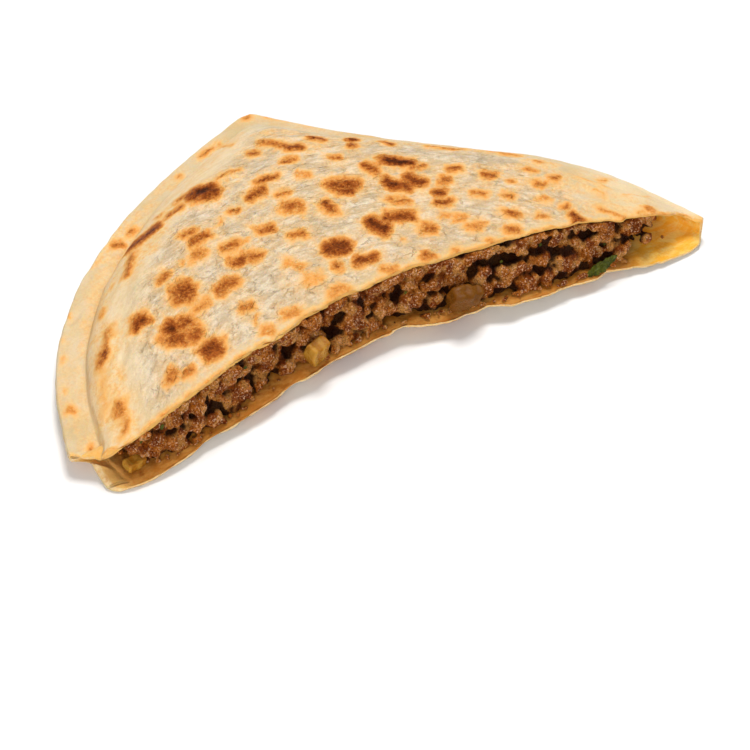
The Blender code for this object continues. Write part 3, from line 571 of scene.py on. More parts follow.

# Wide golden washes where the dough was brushed with butter: two ends in millimetres from the frame's
# middle, radius, strength
goldenWashes = (
    (-78, 30, -64, 39, 5.5, 0.9), (-64, 40, -46, 47, 4.0, 0.8), (-46, 48, -30, 56, 3.0, 0.7),
    (-28, 50, -4, 62, 3.5, 0.6), (2, 52, 16, 44, 3.5, 0.8), (-4, 42, 20, 26, 5.0, 0.6),
    (20, 70, 48, 36, 3.0, 0.5), (40, 22, 62, 6, 3.5, 0.7), (62, 4, 84, -15, 3.0, 0.9),
    (83, -23, 90, -29, 3.5, 0.9), (76, -24, 84, -31, 3.5, 0.7), (86, -32, 94, -44, 3.5, 0.7),
    (92, -47, 108, -45, 3.0, 0.8), (96, -55, 108, -60, 2.5, 0.7), (88, -56, 100, -63, 3.5, 0.7),
    (-98, -17, -113, -52, 5.0, 1.0), (-109, -50, -113, -64, 4.5, 1.0), (-74, 12, -82, 2, 4.5, 0.6),
    (-116, -18, -124, -36, 2.5, 0.4), (-124, -40, -127, -58, 2.0, 0.4), (-66, -60, -58, -60, 4.0, 0.4),
    (-52, -54, -40, -57, 4.0, 0.5), (60, -25, 72, -33, 4.0, 0.6), (40, -8, 62, -20, 4.0, 0.5),
    (10, -46, 22, -54, 4.0, 0.5), (-46, -6, -34, -14, 6.0, 0.6), (-30, -38, -18, -46, 6.0, 0.5),
    (-74, 6, -60, 20, 5.0, 1.0), (-71, 32, -61, 37, 5.0, 1.0), (-60, 21, -44, 27, 4.5, 1.0),
    (-43, 28, -22, 29, 5.0, 1.0), (0, 41, 14, 27, 5.5, 0.9), (-16, 61, -7, 67, 3.0, 1.0),
    (-86, 5, -82, 9, 3.5, 1.0), (-94, -5, -89, 3, 3.0, 0.8), (28, 28, 44, 14, 4.0, 0.7),
    (-84, -30, -78, -40, 8.0, 0.6), (-102, -14, -88, 6, 6.0, 0.6), (-88, 6, -72, 26, 6.0, 0.6),
    (-62, 28, -30, 44, 6.0, 0.5), (-30, 44, -4, 60, 6.0, 0.6), (70, -30, 82, -40, 4.0, 0.8),
    (60, -16, 76, -24, 3.5, 0.7), (46, -24, 58, -30, 3.5, 0.5), (66, -44, 80, -50, 3.5, 0.7),
    (84, -40, 98, -52, 3.0, 0.6), (-112, -20, -118, -44, 3.0, 0.4),
)


def undersideSpots(count, seed):
    # The underside isn't shown: seeded spots like the top's, three quarters of them small
    draw = np.random.default_rng(seed)
    start = draw.uniform((-125, -72), (125, 74), (count, 2))
    bearing = draw.uniform(0, math.pi, count)
    reach = draw.uniform(0, 7, count)
    end = start + np.stack((np.cos(bearing), np.sin(bearing)), axis=1) * reach[:, None]
    radius = draw.uniform(1.4, 2.6, count) + 2.4 * (draw.random(count) > 0.75)
    return np.column_stack((start, end, radius, draw.uniform(0.4, 1.0, count)))


def spotsSeen():
    # The toasted spots in millimetres from the frame's middle: those of the photo, then those on the rim
    spots = np.array(toastSpots)
    ends = [seenOnTop(*spots[:, first:first + 2].T) for first in (0, 2)]
    return np.concatenate((np.column_stack((*ends, spots[:, 4:])), rimSpots))


def toastAt(x, y, spots, seed):
    # Each spot's heat falls off with the distance from its line, after the place is shaken by roughness,
    # and heats add up as the fourth root of their fourth powers. Short spots are drawn shorter still, those
    # on the right wider, all stretched away from the camera, and wide ones are paler in the middle. The
    # others that are given back are the blisters' height and a golden tint.
    x, y = x - centre[0], y - centre[1]
    turnedX, turnedY = 0.82 * x + 0.57 * y, 0.82 * y - 0.57 * x
    coarse, coarseSize, fine, fineSize = dough["spotShakes"]
    shiftX, shiftY = (coarse * roughness2(turnedX, turnedY, coarseSize, own, 3)
                      + fine * roughness2(x, y, fineSize, own + 1) for own in (seed, seed + 2))
    ax, ay, bx, by, radius, heat = np.array(spots).T
    middleX, middleY = (ax + bx) / 2, (ay + by) / 2
    onRight = smoothStep((middleX - 10) / 30)
    isShort = np.hypot(bx - ax, by - ay) < dough["shortSpot"]
    short = np.where(isShort, dough["spotShortening"] - 0.3 * onRight, 1)
    ax, bx = [middleX + short * (end - middleX) + dough["spotShift"][0] for end in (ax, bx)]
    ay, by = [middleY + short * (end - middleY) + dough["spotShift"][1] for end in (ay, by)]
    radius = np.maximum(radius - dough["spotTrim"] + 0.35 * onRight, 0.5)
    heat = heat * dough["spotHeat"]
    px, py = (x + shiftX)[:, None] - ax, (y + shiftY)[:, None] - ay
    dx, dy = bx - ax, by - ay
    t = np.clip((px * dx + py * dy) / (dx * dx + dy * dy + 1e-6), 0, 1)
    px, py = px - t * dx, py - t * dy
    wx, wy = dough["spotStretchWay"]
    lengthwise = (px * wx + py * wy) * (1 - 1 / (dough["spotStretch"] - 0.2 * smoothStep((ax - 10) / 50)))
    reach = np.hypot(px - lengthwise * wx, py - lengthwise * wy) / radius
    beyond = (reach - 1) * radius
    warmth = heat * (0.27 * np.clip(1 - reach, 0, 1) + 0.73 * smoothStep((3.6 - beyond) / 5.6))
    warmth = warmth * (1 - 0.22 * smoothStep((radius - 2.3) / 1.2) * np.exp(-(reach / 0.34) ** 2))
    together = (warmth ** 4).sum(axis=1) ** 0.25
    golden = (0.95 * np.minimum(1.5 * heat, 1) * smoothStep((7.4 - beyond) / 7.0)).max(axis=1)
    height = np.minimum(radius, 3.5) / 3.5 * np.minimum(heat * 1.2, 1)
    raised = (height * smoothStep((1.5 - reach) / 1.3)).max(axis=1)
    return together, raised, golden


def washAt(x, y):
    # The strongest of the golden washes, with ragged borders
    x, y = x - centre[0], y - centre[1]
    rag = 2.4 * roughness2(x, y, 7, 201, 3)
    ax, ay, bx, by, radius, strength = np.array(goldenWashes).T
    px, py, dx, dy = x[:, None] - ax, y[:, None] - ay, bx - ax, by - ay
    t = np.clip((px * dx + py * dy) / (dx * dx + dy * dy), 0, 1)
    away = np.hypot(px - t * dx, py - t * dy) + rag[:, None]
    return (strength * smoothStep((1.5 - away / radius) / 0.9)).max(axis=1)


def grainAt(x, y):
    # The dough's wrinkles run in arcs round a point before the cut: (way round, distance from it, height)
    x, y = x - centre[0] - dough["grainCentre"][0], y - centre[1] - dough["grainCentre"][1]
    return np.stack((np.arctan2(x, y) * dough["grainSpan"], np.hypot(x, y), 0 * x), axis=1)


def creaseWave(x, y):
    # The hem's crease wanders across the flange's inner edge
    return 0.8 * roughness2(x, y, 13, 87, 2)


def topSurface(x, y):
    # The plain top plus wrinkles along the grain, blisters, the hem's groove and the folds at the tip
    d = dough
    inside, u = edgeDistance(x, y)
    width = along(parcel["flangeWidth"], u)
    z = plainTop(x, y)
    grain = grainAt(x, y)
    toast, raised, golden = toastAt(x, y, spotsOnTop, 41)
    golden = np.maximum(golden, washAt(x, y))
    onLeft = smoothStep((0.5 - u) / 0.12)
    calm = smoothStep(inside / 3)
    papery = smoothStep((inside - width - 3 - 9 * onLeft) / 14) * smoothStep((96 - (x - centre[0])) / 22)
    along9, along3 = grain / (7.5, 2.4, 1), grain / (2.6, 1.15, 1)
    relief = d["wrinkle"] * roughness(along9, 1, 5, 2) * (0.45 + 0.55 * papery)
    relief += d["fineWrinkle"] * roughness(along3, 1, 9) * (0.3 + 0.7 * papery)
    relief += d["blister"] * raised * (0.8 + 0.2 * roughness2(x, y, 2.2, 13))
    relief -= d["crust"] * toast * (0.5 + 0.5 * roughness2(x, y, 1.6, 19, 2)) * raised
    fromGroove = inside - width + creaseWave(x, y)
    depth = along(d["groove"], u) * (0.8 + 0.5 * roughness2(x, y, 17, 89))
    valley = np.where(fromGroove < 0, np.exp(-(fromGroove / (2.2 * d["grooveWidth"])) ** 2),
                      np.exp(-(fromGroove / d["grooveWidth"]) ** 2))
    relief -= depth * valley * (0.85 + 0.3 * roughness2(x, y, 9, 21))
    lower = smoothStep((0.38 - u) / 0.12)
    relief += d["innerRidge"] * lower * np.exp(-((fromGroove - 3.2) / 2.2) ** 2)
    relief -= 0.35 * lower * np.exp(-((fromGroove - 12.5 - 1.5 * roughness2(x, y, 25, 23)) / 2.5) ** 2)
    relief += 0.30 * lower * np.exp(-((fromGroove - 18) / 2.6) ** 2)
    relief += 0.24 * lower * roughness2(x, y, 4.2, 107, 2) * smoothStep(1 - fromGroove / 4)
    crimps = roughness(np.stack((u * 110, inside / 6, 0 * x), axis=1), 1, 27, 2)
    relief += d["hemCrimp"] * crimps * smoothStep(1 - fromGroove / 3) * smoothStep(inside / 2)
    tipX, tipY = x - parcel["rightCorner"][0], y - parcel["rightCorner"][1]
    bearing = np.degrees(np.arctan2(tipY, tipX)) + 2.5 * roughness2(x, y, 16, 29)
    away = np.hypot(tipX, tipY)
    reach = smoothStep((away - 4) / 18) * smoothStep((78 - away) / 45) * smoothStep(inside / 4)
    for angle, height, spread in d["tipFolds"]:
        relief += height * reach * np.exp(-((bearing - angle) / spread) ** 2)
    return z + relief * calm, toast, papery, inside, golden


def bottomSurface(x, y):
    # The plain bottom plus low wrinkles along the grain
    z = plainBottom(x, y)
    toast, _, golden = toastAt(x, y, spotsBeneath, 61)
    grain = grainAt(x, y)
    inside, _ = edgeDistance(x, y)
    relief = 0.18 * np.abs(roughness(grain / (7.5, 2.4, 1), 1, 33, 2))
    papery = smoothStep((inside - 12) / 14)
    return z + relief * smoothStep(inside / 3), toast, papery, inside, golden


def edgeLift(x, fromCut):
    # The bottom sheet's edge undulates
    return 0.42 * (1 + roughness2(x, 0 * x, 10, 97, 2)) * smoothStep(1 - fromCut / 8)


def doughRows():
    # Rows of points from tip to tip: top skin, rim, underside, lower lip, pocket, upper lip
    d = dough
    count = d["stations"]
    left, right = parcel["leftCorner"], parcel["rightCorner"]
    upperWay = (count, 5, d["cutEdgeFray"], d["mouth"], d["upperFlaps"])
    lowerWay = (count, 8, 1.3 * d["cutEdgeFray"], 0, d["lowerFlaps"], d["ruffle"])
    topFront = cutPoints(parcel["topCutLine"], left, right, *upperWay)
    bottomFront = cutPoints(parcel["bottomCutLine"], left, right, *lowerWay)
    back = pointsAlong(edge, count)
    outward = np.gradient(back, axis=0)
    outward = np.column_stack((-outward[:, 1], outward[:, 0])) / np.hypot(*outward.T)[:, None]
    dent = 0.5 + 0.35 * roughness2(back[:, 0], back[:, 1], 7, 73, 2)
    dent = dent * smoothStep(np.minimum(np.arange(count), np.arange(count)[::-1]) / 12)
    back = back - outward * (d["rimWave"] * dent)[:, None]
    pocketLine = insetEdge(parcel["pocketMargin"])
    pocketBack = pointsAlong(pocketLine, count)
    ends = (pocketLine[0], pocketLine[-1])
    pocketTop = cutPoints(parcel["topCutLine"], *ends, *upperWay)
    pocketBottom = cutPoints(parcel["bottomCutLine"], *ends, *lowerWay)

    trial = np.linspace(0, 1, 260)
    reached = []
    for share in trial:
        plan = topFront + share * (back - topFront)
        inside, u = edgeDistance(*plan.T)
        reached.append(inside < along(parcel["flangeWidth"], u))
    start = np.clip(trial[np.array(reached).argmax(axis=0)], 0.35, 0.985)
    start = np.convolve(np.pad(start, 4, mode="edge"), np.ones(9) / 9, "valid")[:, None]

    rows, marks = [], []

    def addRow(points, toast=0, papery=0, inner=0, juice=0, golden=0):
        values = [np.broadcast_to(np.asarray(value, float), (count,))
                  for value in (toast, papery, inner, juice, golden)]
        rows.append(points)
        marks.append(np.stack(values, axis=1))

    frontShares = np.linspace(0, 1, d["rowsToGroove"])
    frontShares = 0.75 * frontShares + 0.25 * frontShares ** 2 * (3 - 2 * frontShares)
    onFlange = np.linspace(0, 1, d["rowsOnFlange"] + 1)[1:]
    for share in [s * start for s in frontShares] + [start + s * (1 - start) for s in onFlange]:
        plan = topFront + share * (back - topFront)
        z, toast, papery, inside, golden = topSurface(*plan.T)
        fromCut = np.hypot(*(plan - topFront).T)
        z = z - 0.55 * (1 - quarterRound(fromCut / 1.3))
        papery = papery * smoothStep((fromCut - 1.0) / 5)
        golden = np.maximum(golden, smoothStep(1.25 - fromCut / 2.6))
        atLip = 0.15 + 0.08 * roughness2(*plan.T, 3.5, 103, 2)
        toast = np.maximum(toast, smoothStep(1.1 - fromCut / 2.0) * atLip)
        addRow(np.column_stack((plan, z)), toast * smoothStep((inside + 0.5) / 1.5), papery, golden=golden)
    topCount = len(rows)

    beneath = np.linspace(0, 1, d["rowsBeneath"])
    beneath = 0.5 * beneath + 0.5 * beneath ** 2
    underRows = []
    for share in beneath:
        plan = bottomFront + share * (back - bottomFront)
        z, toast, papery, inside, golden = bottomSurface(*plan.T)
        fromCut = np.hypot(*(plan - bottomFront).T)
        z = z + 0.35 * (1 - quarterRound(fromCut / 0.9)) + edgeLift(plan[:, 0], fromCut)
        underRows.append((np.column_stack((plan, z)), toast, papery, golden))
    upper, lower = rows[-1], underRows[-1][0]
    outward = np.column_stack((outward, 0 * outward[:, 0]))
    half = (upper[:, 2] - lower[:, 2]) / 2
    middle = (upper + lower) / 2
    for k in range(1, d["rowsRoundRim"] + 1):
        turn = math.pi * k / (d["rowsRoundRim"] + 1)
        uneven = 0.10 * (1 + roughness2(np.arange(count), 0 * half + 3 * k, 4, 71))
        bulge = 0.45 * half * np.sin(turn) - uneven
        seam = 0.5 * np.exp(-((turn - 1.9) / 0.16) ** 2)
        point = middle + (upper - middle) * math.cos(turn) + outward * (bulge - seam)[:, None]
        toast = 0.9 * marks[topCount - 1][:, 0] * (1 - k / d["rowsRoundRim"])
        addRow(point, toast)
    for point, toast, papery, golden in underRows[::-1]:
        addRow(point, toast, papery, golden=golden)
    outerCount = len(rows)

    def thickness(atLip, sheet, fromCut):
        return along(((0, atLip), (d["lipTaper"], sheet), (300, sheet)), fromCut)

    depths = np.linspace(0, 1, d["rowsInPocket"]) ** 1.7
    floorRows, roofRows = [], []
    for share in depths:
        plan = pocketBottom + share * (pocketBack - pocketBottom)
        fromCut = np.hypot(*(plan - pocketBottom).T)
        folds = roughness2(plan[:, 0] / 2.2, plan[:, 1], 2.6, 81, 2)
        folds = 0.24 * (folds + 0.6 * roughness2(*plan.T, 1.3, 82)) * smoothStep(fromCut / 1.5)
        z = plainBottom(*plan.T) + thickness(d["lipThickness"], parcel["bottomSheet"], fromCut)
        z = z + folds + edgeLift(plan[:, 0], fromCut)
        floorRows.append((np.column_stack((plan, z)), fromCut))
        plan = pocketTop + share * (pocketBack - pocketTop)
        fromCut = np.hypot(*(plan - pocketTop).T)
        z = plainTop(*plan.T) - thickness(d["upperLipThickness"], parcel["topSheet"], fromCut)
        z = z + 0.12 * roughness2(*plan.T, 3.4, 83, 2)
        roofRows.append((np.column_stack((plan, z)), fromCut))
    deepFloor, deepRoof = floorRows[-1][0], roofRows[-1][0]
    short = np.maximum(0, 1.2 - (deepRoof[:, 2] - deepFloor[:, 2])) / 2
    deepRoof[:, 2] += short
    deepFloor[:, 2] -= short

    def lip(start, end, outwardY, bulge, fromTop, orange):
        # Points between a sheet's two cut rims, bulged and frayed, straight at both tips
        calm = np.clip(np.minimum(np.arange(count), np.arange(count)[::-1]) / 8, 0, 1)
        for k in range(1, d["rowsOfLip"] + 1):
            t = k / (d["rowsOfLip"] + 1)
            point = start * (1 - t) + end * t
            fray = 0.22 * roughness(point / (1.6, 1.6, 0.8), 1, 91 + k, 2)
            point[:, 1] += outwardY * calm * (bulge * math.sin(math.pi * t) + fray)
            width = np.hypot(*(end - start)[:, :2].T)
            bow = np.clip(0.16 * width, 0, 0.8) * math.sin(math.pi * t) * (width > 2)
            point[:, 2] += -bow if fromTop else bow
            within = 0 if fromTop else smoothStep((width * t - 1.9) / 1.8)
            golden = orange * smoothStep((start[:, 0] + 110) / 8)
            addRow(point, 0, 0, 0.25 + 0.75 * within, 0.12 + 0.4 * within, golden)

    lip(rows[-1], floorRows[0][0], -1, 0.30, False, 0.15)
    innerStart = len(rows)
    for point, fromCut in floorRows:
        stain = 0.25 + 0.75 * smoothStep((fromCut - 0.5) / 5)
        addRow(point, 0, 0, 1, stain)
    for point, fromCut in roofRows[::-1]:
        addRow(point, 0, 0, 1, 0.35 + 0.65 * smoothStep((fromCut - 1) / 7))
    innerEnd = len(rows)
    lip(rows[-1], rows[0], -1, 0.25, True, 1)
    grid, mark = np.stack(rows), np.stack(marks)
    for first, last in ((0, outerCount), (innerStart, innerEnd)):
        for end in (0, -1):
            grid[first:last, end] = grid[first:last, end].mean(axis=0)
    lips = ((outerCount, innerStart, outerCount - 1, innerStart), (innerEnd, len(rows), innerEnd - 1, 0))
    for first, last, a, b in lips:
        for end in (0, -1):
            t = (np.arange(1, last - first + 1) / (last - first + 1))[:, None]
            grid[first:last, end] = grid[a, end] * (1 - t) + grid[b, end] * t
    return grid, mark


def creaseMarks(x, y):
    # Distance from the hem's crease in millimetres, how strongly it is pressed there, and the share of the
    # left shoulder that gets painted light, as it faces away from the key lamp
    inside, u = edgeDistance(x, y)
    fromCrease = inside - along(parcel["flangeWidth"], u) + creaseWave(x, y)
    shoulderPaintedLight = smoothStep((0.54 - u) / 0.10) * smoothStep((fromCrease + 0.3) / 1.2)
    shoulderPaintedLight = shoulderPaintedLight * smoothStep((25 - fromCrease) / 15)
    return np.clip(fromCrease, -9, 9), along(dough["groove"], u) / 1.5, shoulderPaintedLight


def makeDough():
    grid, mark = doughRows()
    rowCount, count, _ = grid.shape
    points = grid.reshape(-1, 3)
    marks = dict(zip(("toast", "papery", "inner", "juice", "golden"), mark.reshape(-1, 5).T))
    fromCrease, pressed, shoulderPaintedLight = creaseMarks(points[:, 0], points[:, 1])
    onTop = np.repeat(np.arange(rowCount) < dough["rowsToGroove"] + dough["rowsOnFlange"], count)
    grain = grainAt(points[:, 0], points[:, 1])
    grain[:, 2] = points[:, 2]
    marks.update({"fromCrease": fromCrease, "pressed": pressed * onTop, "shoulderPaintedLight": shoulderPaintedLight * onTop,
                  "tip": smoothStep((points[:, 0] - 108) / 18), "pale": smoothStep((-99 - points[:, 0]) / 7),
                  "grain": grain})
    return meshObject("doughSheet", points, facesBetween(rowCount, count), marks)


def doughFinish():
    # Pale flour tones broken by greyish see-through wrinkles, under toast that runs from straw to burnt,
    # with painted light on the left shoulder and at the right tip inside, and painted shade in the hem's
    # crease and the rim's slits
    paint = Paint("griddledDough")
    grain = paint.attribute("grain", vector=True)
    toast, papery = paint.attribute("toast"), paint.attribute("papery")
    inner, juice = paint.attribute("inner"), paint.attribute("juice")
    patches = paint.noise(paint.place, 0.055, 3, 0.55)
    streaks = paint.noise(paint.mapping(grain, (0.10, 0.33, 0.3)), 1.0, 5, 0.62)
    lines = paint.noise(paint.mapping(grain, (0.24, 0.90, 0.8)), 1.0, 4, 0.6, 0.6)
    speckle = paint.noise(paint.place, 1.1, 3, 0.6)
    blotch = paint.noise(paint.place, 0.36, 3, 0.6)
    mottle = paint.noise(paint.place, 0.75, 3, 0.55)

    plain = paint.mix(paint.span(patches, 0.35, 0.65), (0.64, 0.485, 0.262), (0.70, 0.572, 0.383))
    streaky = paint.times(paint.span(streaks, 0.48, 0.66), 0.5)
    plain = paint.mix(streaky, plain, (0.68, 0.46, 0.22))
    flour = paint.mix(paint.span(streaks, 0.38, 0.62), (0.56, 0.437, 0.29), (0.765, 0.652, 0.492))
    thin = paint.times(paint.span(lines, 0.44, 0.60), paint.span(patches, 0.62, 0.42))
    flour = paint.mix(paint.times(thin, 0.75), flour, (0.47, 0.365, 0.23))
    netting = paint.shaken(paint.mapping(grain, (0.12, 0.26, 0.3)), 1.5, 0.95)
    crease = paint.span(paint.cells(netting, 1.0, feature="DISTANCE_TO_EDGE"), 0.12, 0.0)
    broken = paint.span(paint.noise(paint.place, 0.19, 3, 0.6), 0.47, 0.62)
    crease = paint.times(crease, broken)
    fineNetting = paint.shaken(paint.mapping(grain, (0.34, 0.80, 0.8)), 1.1, 0.9)
    fineCrease = paint.span(paint.cells(fineNetting, 1.0, feature="DISTANCE_TO_EDGE"), 0.17, 0.0)
    broken = paint.span(paint.noise(paint.place, 0.27, 3, 0.6), 0.50, 0.66)
    fineCrease = paint.times(fineCrease, broken)
    crease = paint.times(paint.math("MULTIPLY_ADD", fineCrease, 0.40, crease), papery, clamp=True)
    flour = paint.mix(paint.times(crease, 0.40), flour, (0.38, 0.275, 0.155))
    plain = paint.mix(paint.times(paint.attribute("tip"), 0.8), plain, (0.84, 0.68, 0.44))
    skin = paint.mix(papery, plain, flour)
    # Painted light: the left shoulder, which faces away from the key lamp, is lifted to a cream colour
    shoulderPaintedLight = paint.times(paint.attribute("shoulderPaintedLight"), 0.66)
    paintedLightCream = paint.mix(paint.span(streaks, 0.40, 0.62), (0.84, 0.635, 0.375), (0.93, 0.765, 0.53))
    skin = paint.mix(shoulderPaintedLight, skin, paintedLightCream)
    golden = paint.times(paint.attribute("golden"), paint.span(blotch, 0.20, 0.60))
    amber = paint.mix(paint.span(mottle, 0.35, 0.62), (0.82, 0.42, 0.115), (0.85, 0.57, 0.25))
    skin = paint.mix(paint.times(golden, 0.84), skin, amber)
    grit = paint.noise(paint.place, 1.75, 3, 0.6)
    dust = paint.math("MULTIPLY_ADD", speckle, 0.6, paint.times(grit, 0.4))
    dusting = paint.mix(paint.span(dust, 0.38, 0.62), (0.92, 0.91, 0.89), (1.05, 1.05, 1.05))
    skin = paint.mix(paint.math("MULTIPLY_ADD", papery, 0.6, 0.4), skin, dusting, "MULTIPLY")

    held = paint.span(toast, 0.02, 0.52)
    shake = paint.times(paint.math("SUBTRACT", blotch, 0.5), 0.50)
    shake = paint.math("MULTIPLY_ADD", paint.math("SUBTRACT", mottle, 0.5), 0.75, shake)
    shake = paint.math("MULTIPLY_ADD", paint.math("SUBTRACT", speckle, 0.5), 0.42, shake)
    shake = paint.math("MULTIPLY_ADD", paint.math("SUBTRACT", grit, 0.5), 0.50, shake)
    heat = paint.math("MULTIPLY_ADD", shake, held, toast)
    browned = paint.ramp(heat, dough["browning"])
    fleck = paint.times(paint.span(grit, 0.56, 0.70), paint.span(heat, 0.75, 0.35))
    browned = paint.mix(paint.times(fleck, 0.4), browned, (0.84, 0.54, 0.25))
    rust = paint.times(paint.span(patches, 0.50, 0.66), paint.span(heat, 0.2, 0.5))
    browned = paint.mix(paint.times(rust, 0.30), browned, (0.56, 0.14, 0.020))
    skin = paint.mix(paint.span(heat, 0.02, 0.20), skin, browned)

    crossed = paint.math("ABSOLUTE", paint.attribute("fromCrease"))
    pressed = paint.attribute("pressed")
    # Painted shade along the hem's crease, strongest where the groove is pressed deepest
    hemLine = paint.times(paint.span(crossed, 1.3, 0.1), pressed)
    skin = paint.mix(paint.times(hemLine, 0.35), skin, (0.56, 0.33, 0.13))
    greasy = paint.noise(paint.mapping(paint.place, (0.13, 0.32, 0.3)), 1.0, 4, 0.65)
    within = paint.mix(paint.span(greasy, 0.38, 0.62), (0.40, 0.140, 0.015), (0.54, 0.24, 0.048))
    stain = paint.span(paint.noise(paint.place, 0.22, 4, 0.6), 0.40, 0.66)
    stained = paint.mix(stain, (0.44, 0.155, 0.020), (0.23, 0.062, 0.007))
    within = paint.mix(paint.times(juice, paint.span(blotch, 0.42, 0.7)), within, stained)
    tip, pale = paint.attribute("tip"), paint.attribute("pale")
    # Painted light: towards the right tip the inside turns brighter yellow than its own colour, standing in
    # for light shining through the thin sheet
    within = paint.mix(paint.times(tip, 0.9), within,
                       paint.mix(paint.span(greasy, 0.40, 0.64), (0.97, 0.47, 0.04), (0.97, 0.66, 0.18)))
    within = paint.mix(paint.times(pale, 0.85), within, (0.78, 0.45, 0.135))
    cut = paint.mix(paint.span(speckle, 0.4, 0.62), (0.81, 0.545, 0.25), (0.88, 0.665, 0.37))
    cut = paint.mix(paint.times(paint.span(blotch, 0.55, 0.70), 0.5), cut, (0.66, 0.31, 0.07))
    cut = paint.mix(paint.times(paint.attribute("golden"), 0.85), cut, (0.86, 0.42, 0.085))
    inside = paint.mix(paint.span(inner, 0.3, 0.9), cut, within)
    colour = paint.mix(paint.span(inner, 0.02, 0.2), skin, inside)
    slits = paint.math("MAXIMUM", *(paint.pit(*slit) for slit in dough["slits"]))
    # Painted shade darkens the two slits in the rim, besides their bump
    colour = paint.mix(paint.times(slits, 0.7), colour, (0.42, 0.24, 0.08))

    height = paint.math("ADD", paint.times(lines, 0.45), paint.times(speckle, 0.4))
    height = paint.math("SUBTRACT", height, paint.times(crease, 0.9))
    height = paint.math("SUBTRACT", height, paint.times(hemLine, 0.8))
    height = paint.math("SUBTRACT", height, paint.times(slits, 2.2))
    normal = paint.bump(height, 0.55, 0.95)
    crust = paint.times(paint.math("ADD", mottle, grit), held)
    normal = paint.bump(crust, 0.9, 1.0, normal)
    rough = paint.span(heat, 0.2, 0.9, 0.68, 0.52)
    return paint.finish(**{
        "Base Color": colour, "Roughness": rough, "Normal": normal, "Subsurface Weight": 0.25,
        "Subsurface Radius": (1.0, 0.5, 0.14), "Subsurface Scale": 2.8 * mm, "Specular IOR Level": 0.10,
    })


spotsOnTop = spotsSeen()
spotsBeneath = undersideSpots(150, 47)
sheet = dress(makeDough(), doughFinish(), "griddled_dough", "dough")
print("dough made", len(sheet.data.polygons), "faces")


# The filling

mince = {
    "leftEnd": -95, "rightEnd": 126, "lean": 0.97, "seed": 23,
    "clumpSpacing": 6.3, "clumpRow": 5.6, "clumpRadius": (2.7, 5.2), "lumpsPerClump": 34,
    "lumpRadius": (0.75, 1.65), "lumpsBehind": 2000, "lumpsBehindRadius": (0.9, 2.2), "lumpsAtBrow": 420,
    "looseCrumbs": 120,
    "voxel": 0.5, "coreBehindFoot": 6.5, "coreDepth": 6.5, "grain": 0.24,
    # below this share of the height the filling ends earlier on the right: x at the floor, x at the roof
    "rightSlant": (107, 134),
    # the top sheet is thinner near its cut edge: how much higher the filling may reach, and how far in
    "roofRise": 1.2, "roofReach": 5,
    # hollows between the clumps, pushed back and darkened by the painted shade, set after the photo: x along
    # the cut, share of the height, radius, depth
    "hollows": (
        (55, 0.42, 2.6, 3.5), (103, 0.52, 2.0, 3), (67, 0.66, 3.0, 3.5), (71, 0.60, 2.0, 3.5),
        (90, 0.62, 1.8, 2.5), (35.5, 0.98, 2.0, 2.5), (19.5, 0.50, 3.6, 4), (-10.5, 0.55, 4.6, 4.5),
        (-7, 0.6, 2.8, 4), (-27.5, 0.48, 3.2, 4), (-48.5, 0.95, 2.8, 4), (-44, 0.40, 3.8, 3.5),
        (-68, 0.96, 2.8, 4), (-73, 0.52, 2.4, 3.5), (-87, 0.98, 3.2, 4), (-57, 0.90, 2.2, 3),
        (5, 0.95, 2.4, 3.5), (-34, 0.80, 2.2, 3), (28, 0.75, 2.0, 3), (112, 0.80, 2.4, 3),
        (-2, 0.22, 1.8, 3),
    ),
    # clumps of their own near the right end: x, share of the height, depth behind the face, radius
    "strays": (
        (121.5, 0.50, 0.8, 2.5), (118.5, 0.66, 2.2, 2.2), (110.5, 0.30, 0.6, 2.6), (113.5, 0.40, 1.0, 2.0),
        (115, 0.86, 1.5, 2.4), (120, 0.88, 2.2, 2.2), (124, 0.80, 2.5, 2.0), (128.5, 0.42, 1.2, 0.8),
        (107.5, 0.12, 0.2, 1.8), (-97.5, 0.78, 2.0, 2.2), (-100, 0.55, 3.0, 1.6), (-93, 0.35, 0.4, 2.0),
    ),
    # the meat's colours by tone
    "tones": ((0.34, (0.07, 0.011, 0.001)), (0.455, (0.20, 0.038, 0.001)), (0.55, (0.37, 0.091, 0.005)),
              (0.64, (0.60, 0.185, 0.022)), (0.74, (0.94, 0.43, 0.12))),
    # room for the onion pieces and the leaf, in the hollows' terms
    "rooms": ((-18.7, 0.33, 4.7, 3.6), (43, 0.28, 6.2, 3.6), (100.5, 0.10, 5.4, 2.4)),
}


def fillingFloor(x, y):
    return plainBottom(x, y) + parcel["bottomSheet"] + 0.3


def fillingRoof(x, y):
    return np.maximum(plainTop(x, y) - parcel["topSheet"] - 0.3, fillingFloor(x, y) + 0.8)


def roofUnderLip(x, y):
    fromCut = np.maximum(y - along(parcel["topCutLine"], x), 0)
    return fillingRoof(x, y) + mince["roofRise"] * smoothStep(1 - fromCut / mince["roofReach"])


def faceAt(x, share):
    # The leaning face: from the foot on the bottom sheet to the brow under the top one
    foot = fillingFace(x)
    lean = mince["lean"] * np.maximum(0, along(parcel["topCutLine"], x) - foot)
    low = fillingFloor(x, foot)
    high = fillingRoof(x, foot + lean)
    return foot + lean * share, low + (high - low) * share, low, high


def hollowDepth(x, share, high, low):
    depth = np.zeros(len(x))
    for hx, hs, radius, deep in mince["hollows"] + mince["rooms"]:
        away = np.hypot(x - hx, (share - hs) * (high - low) * 1.15) / radius
        depth = np.maximum(depth, deep * smoothStep((1.25 - away) / 0.6))
    return depth


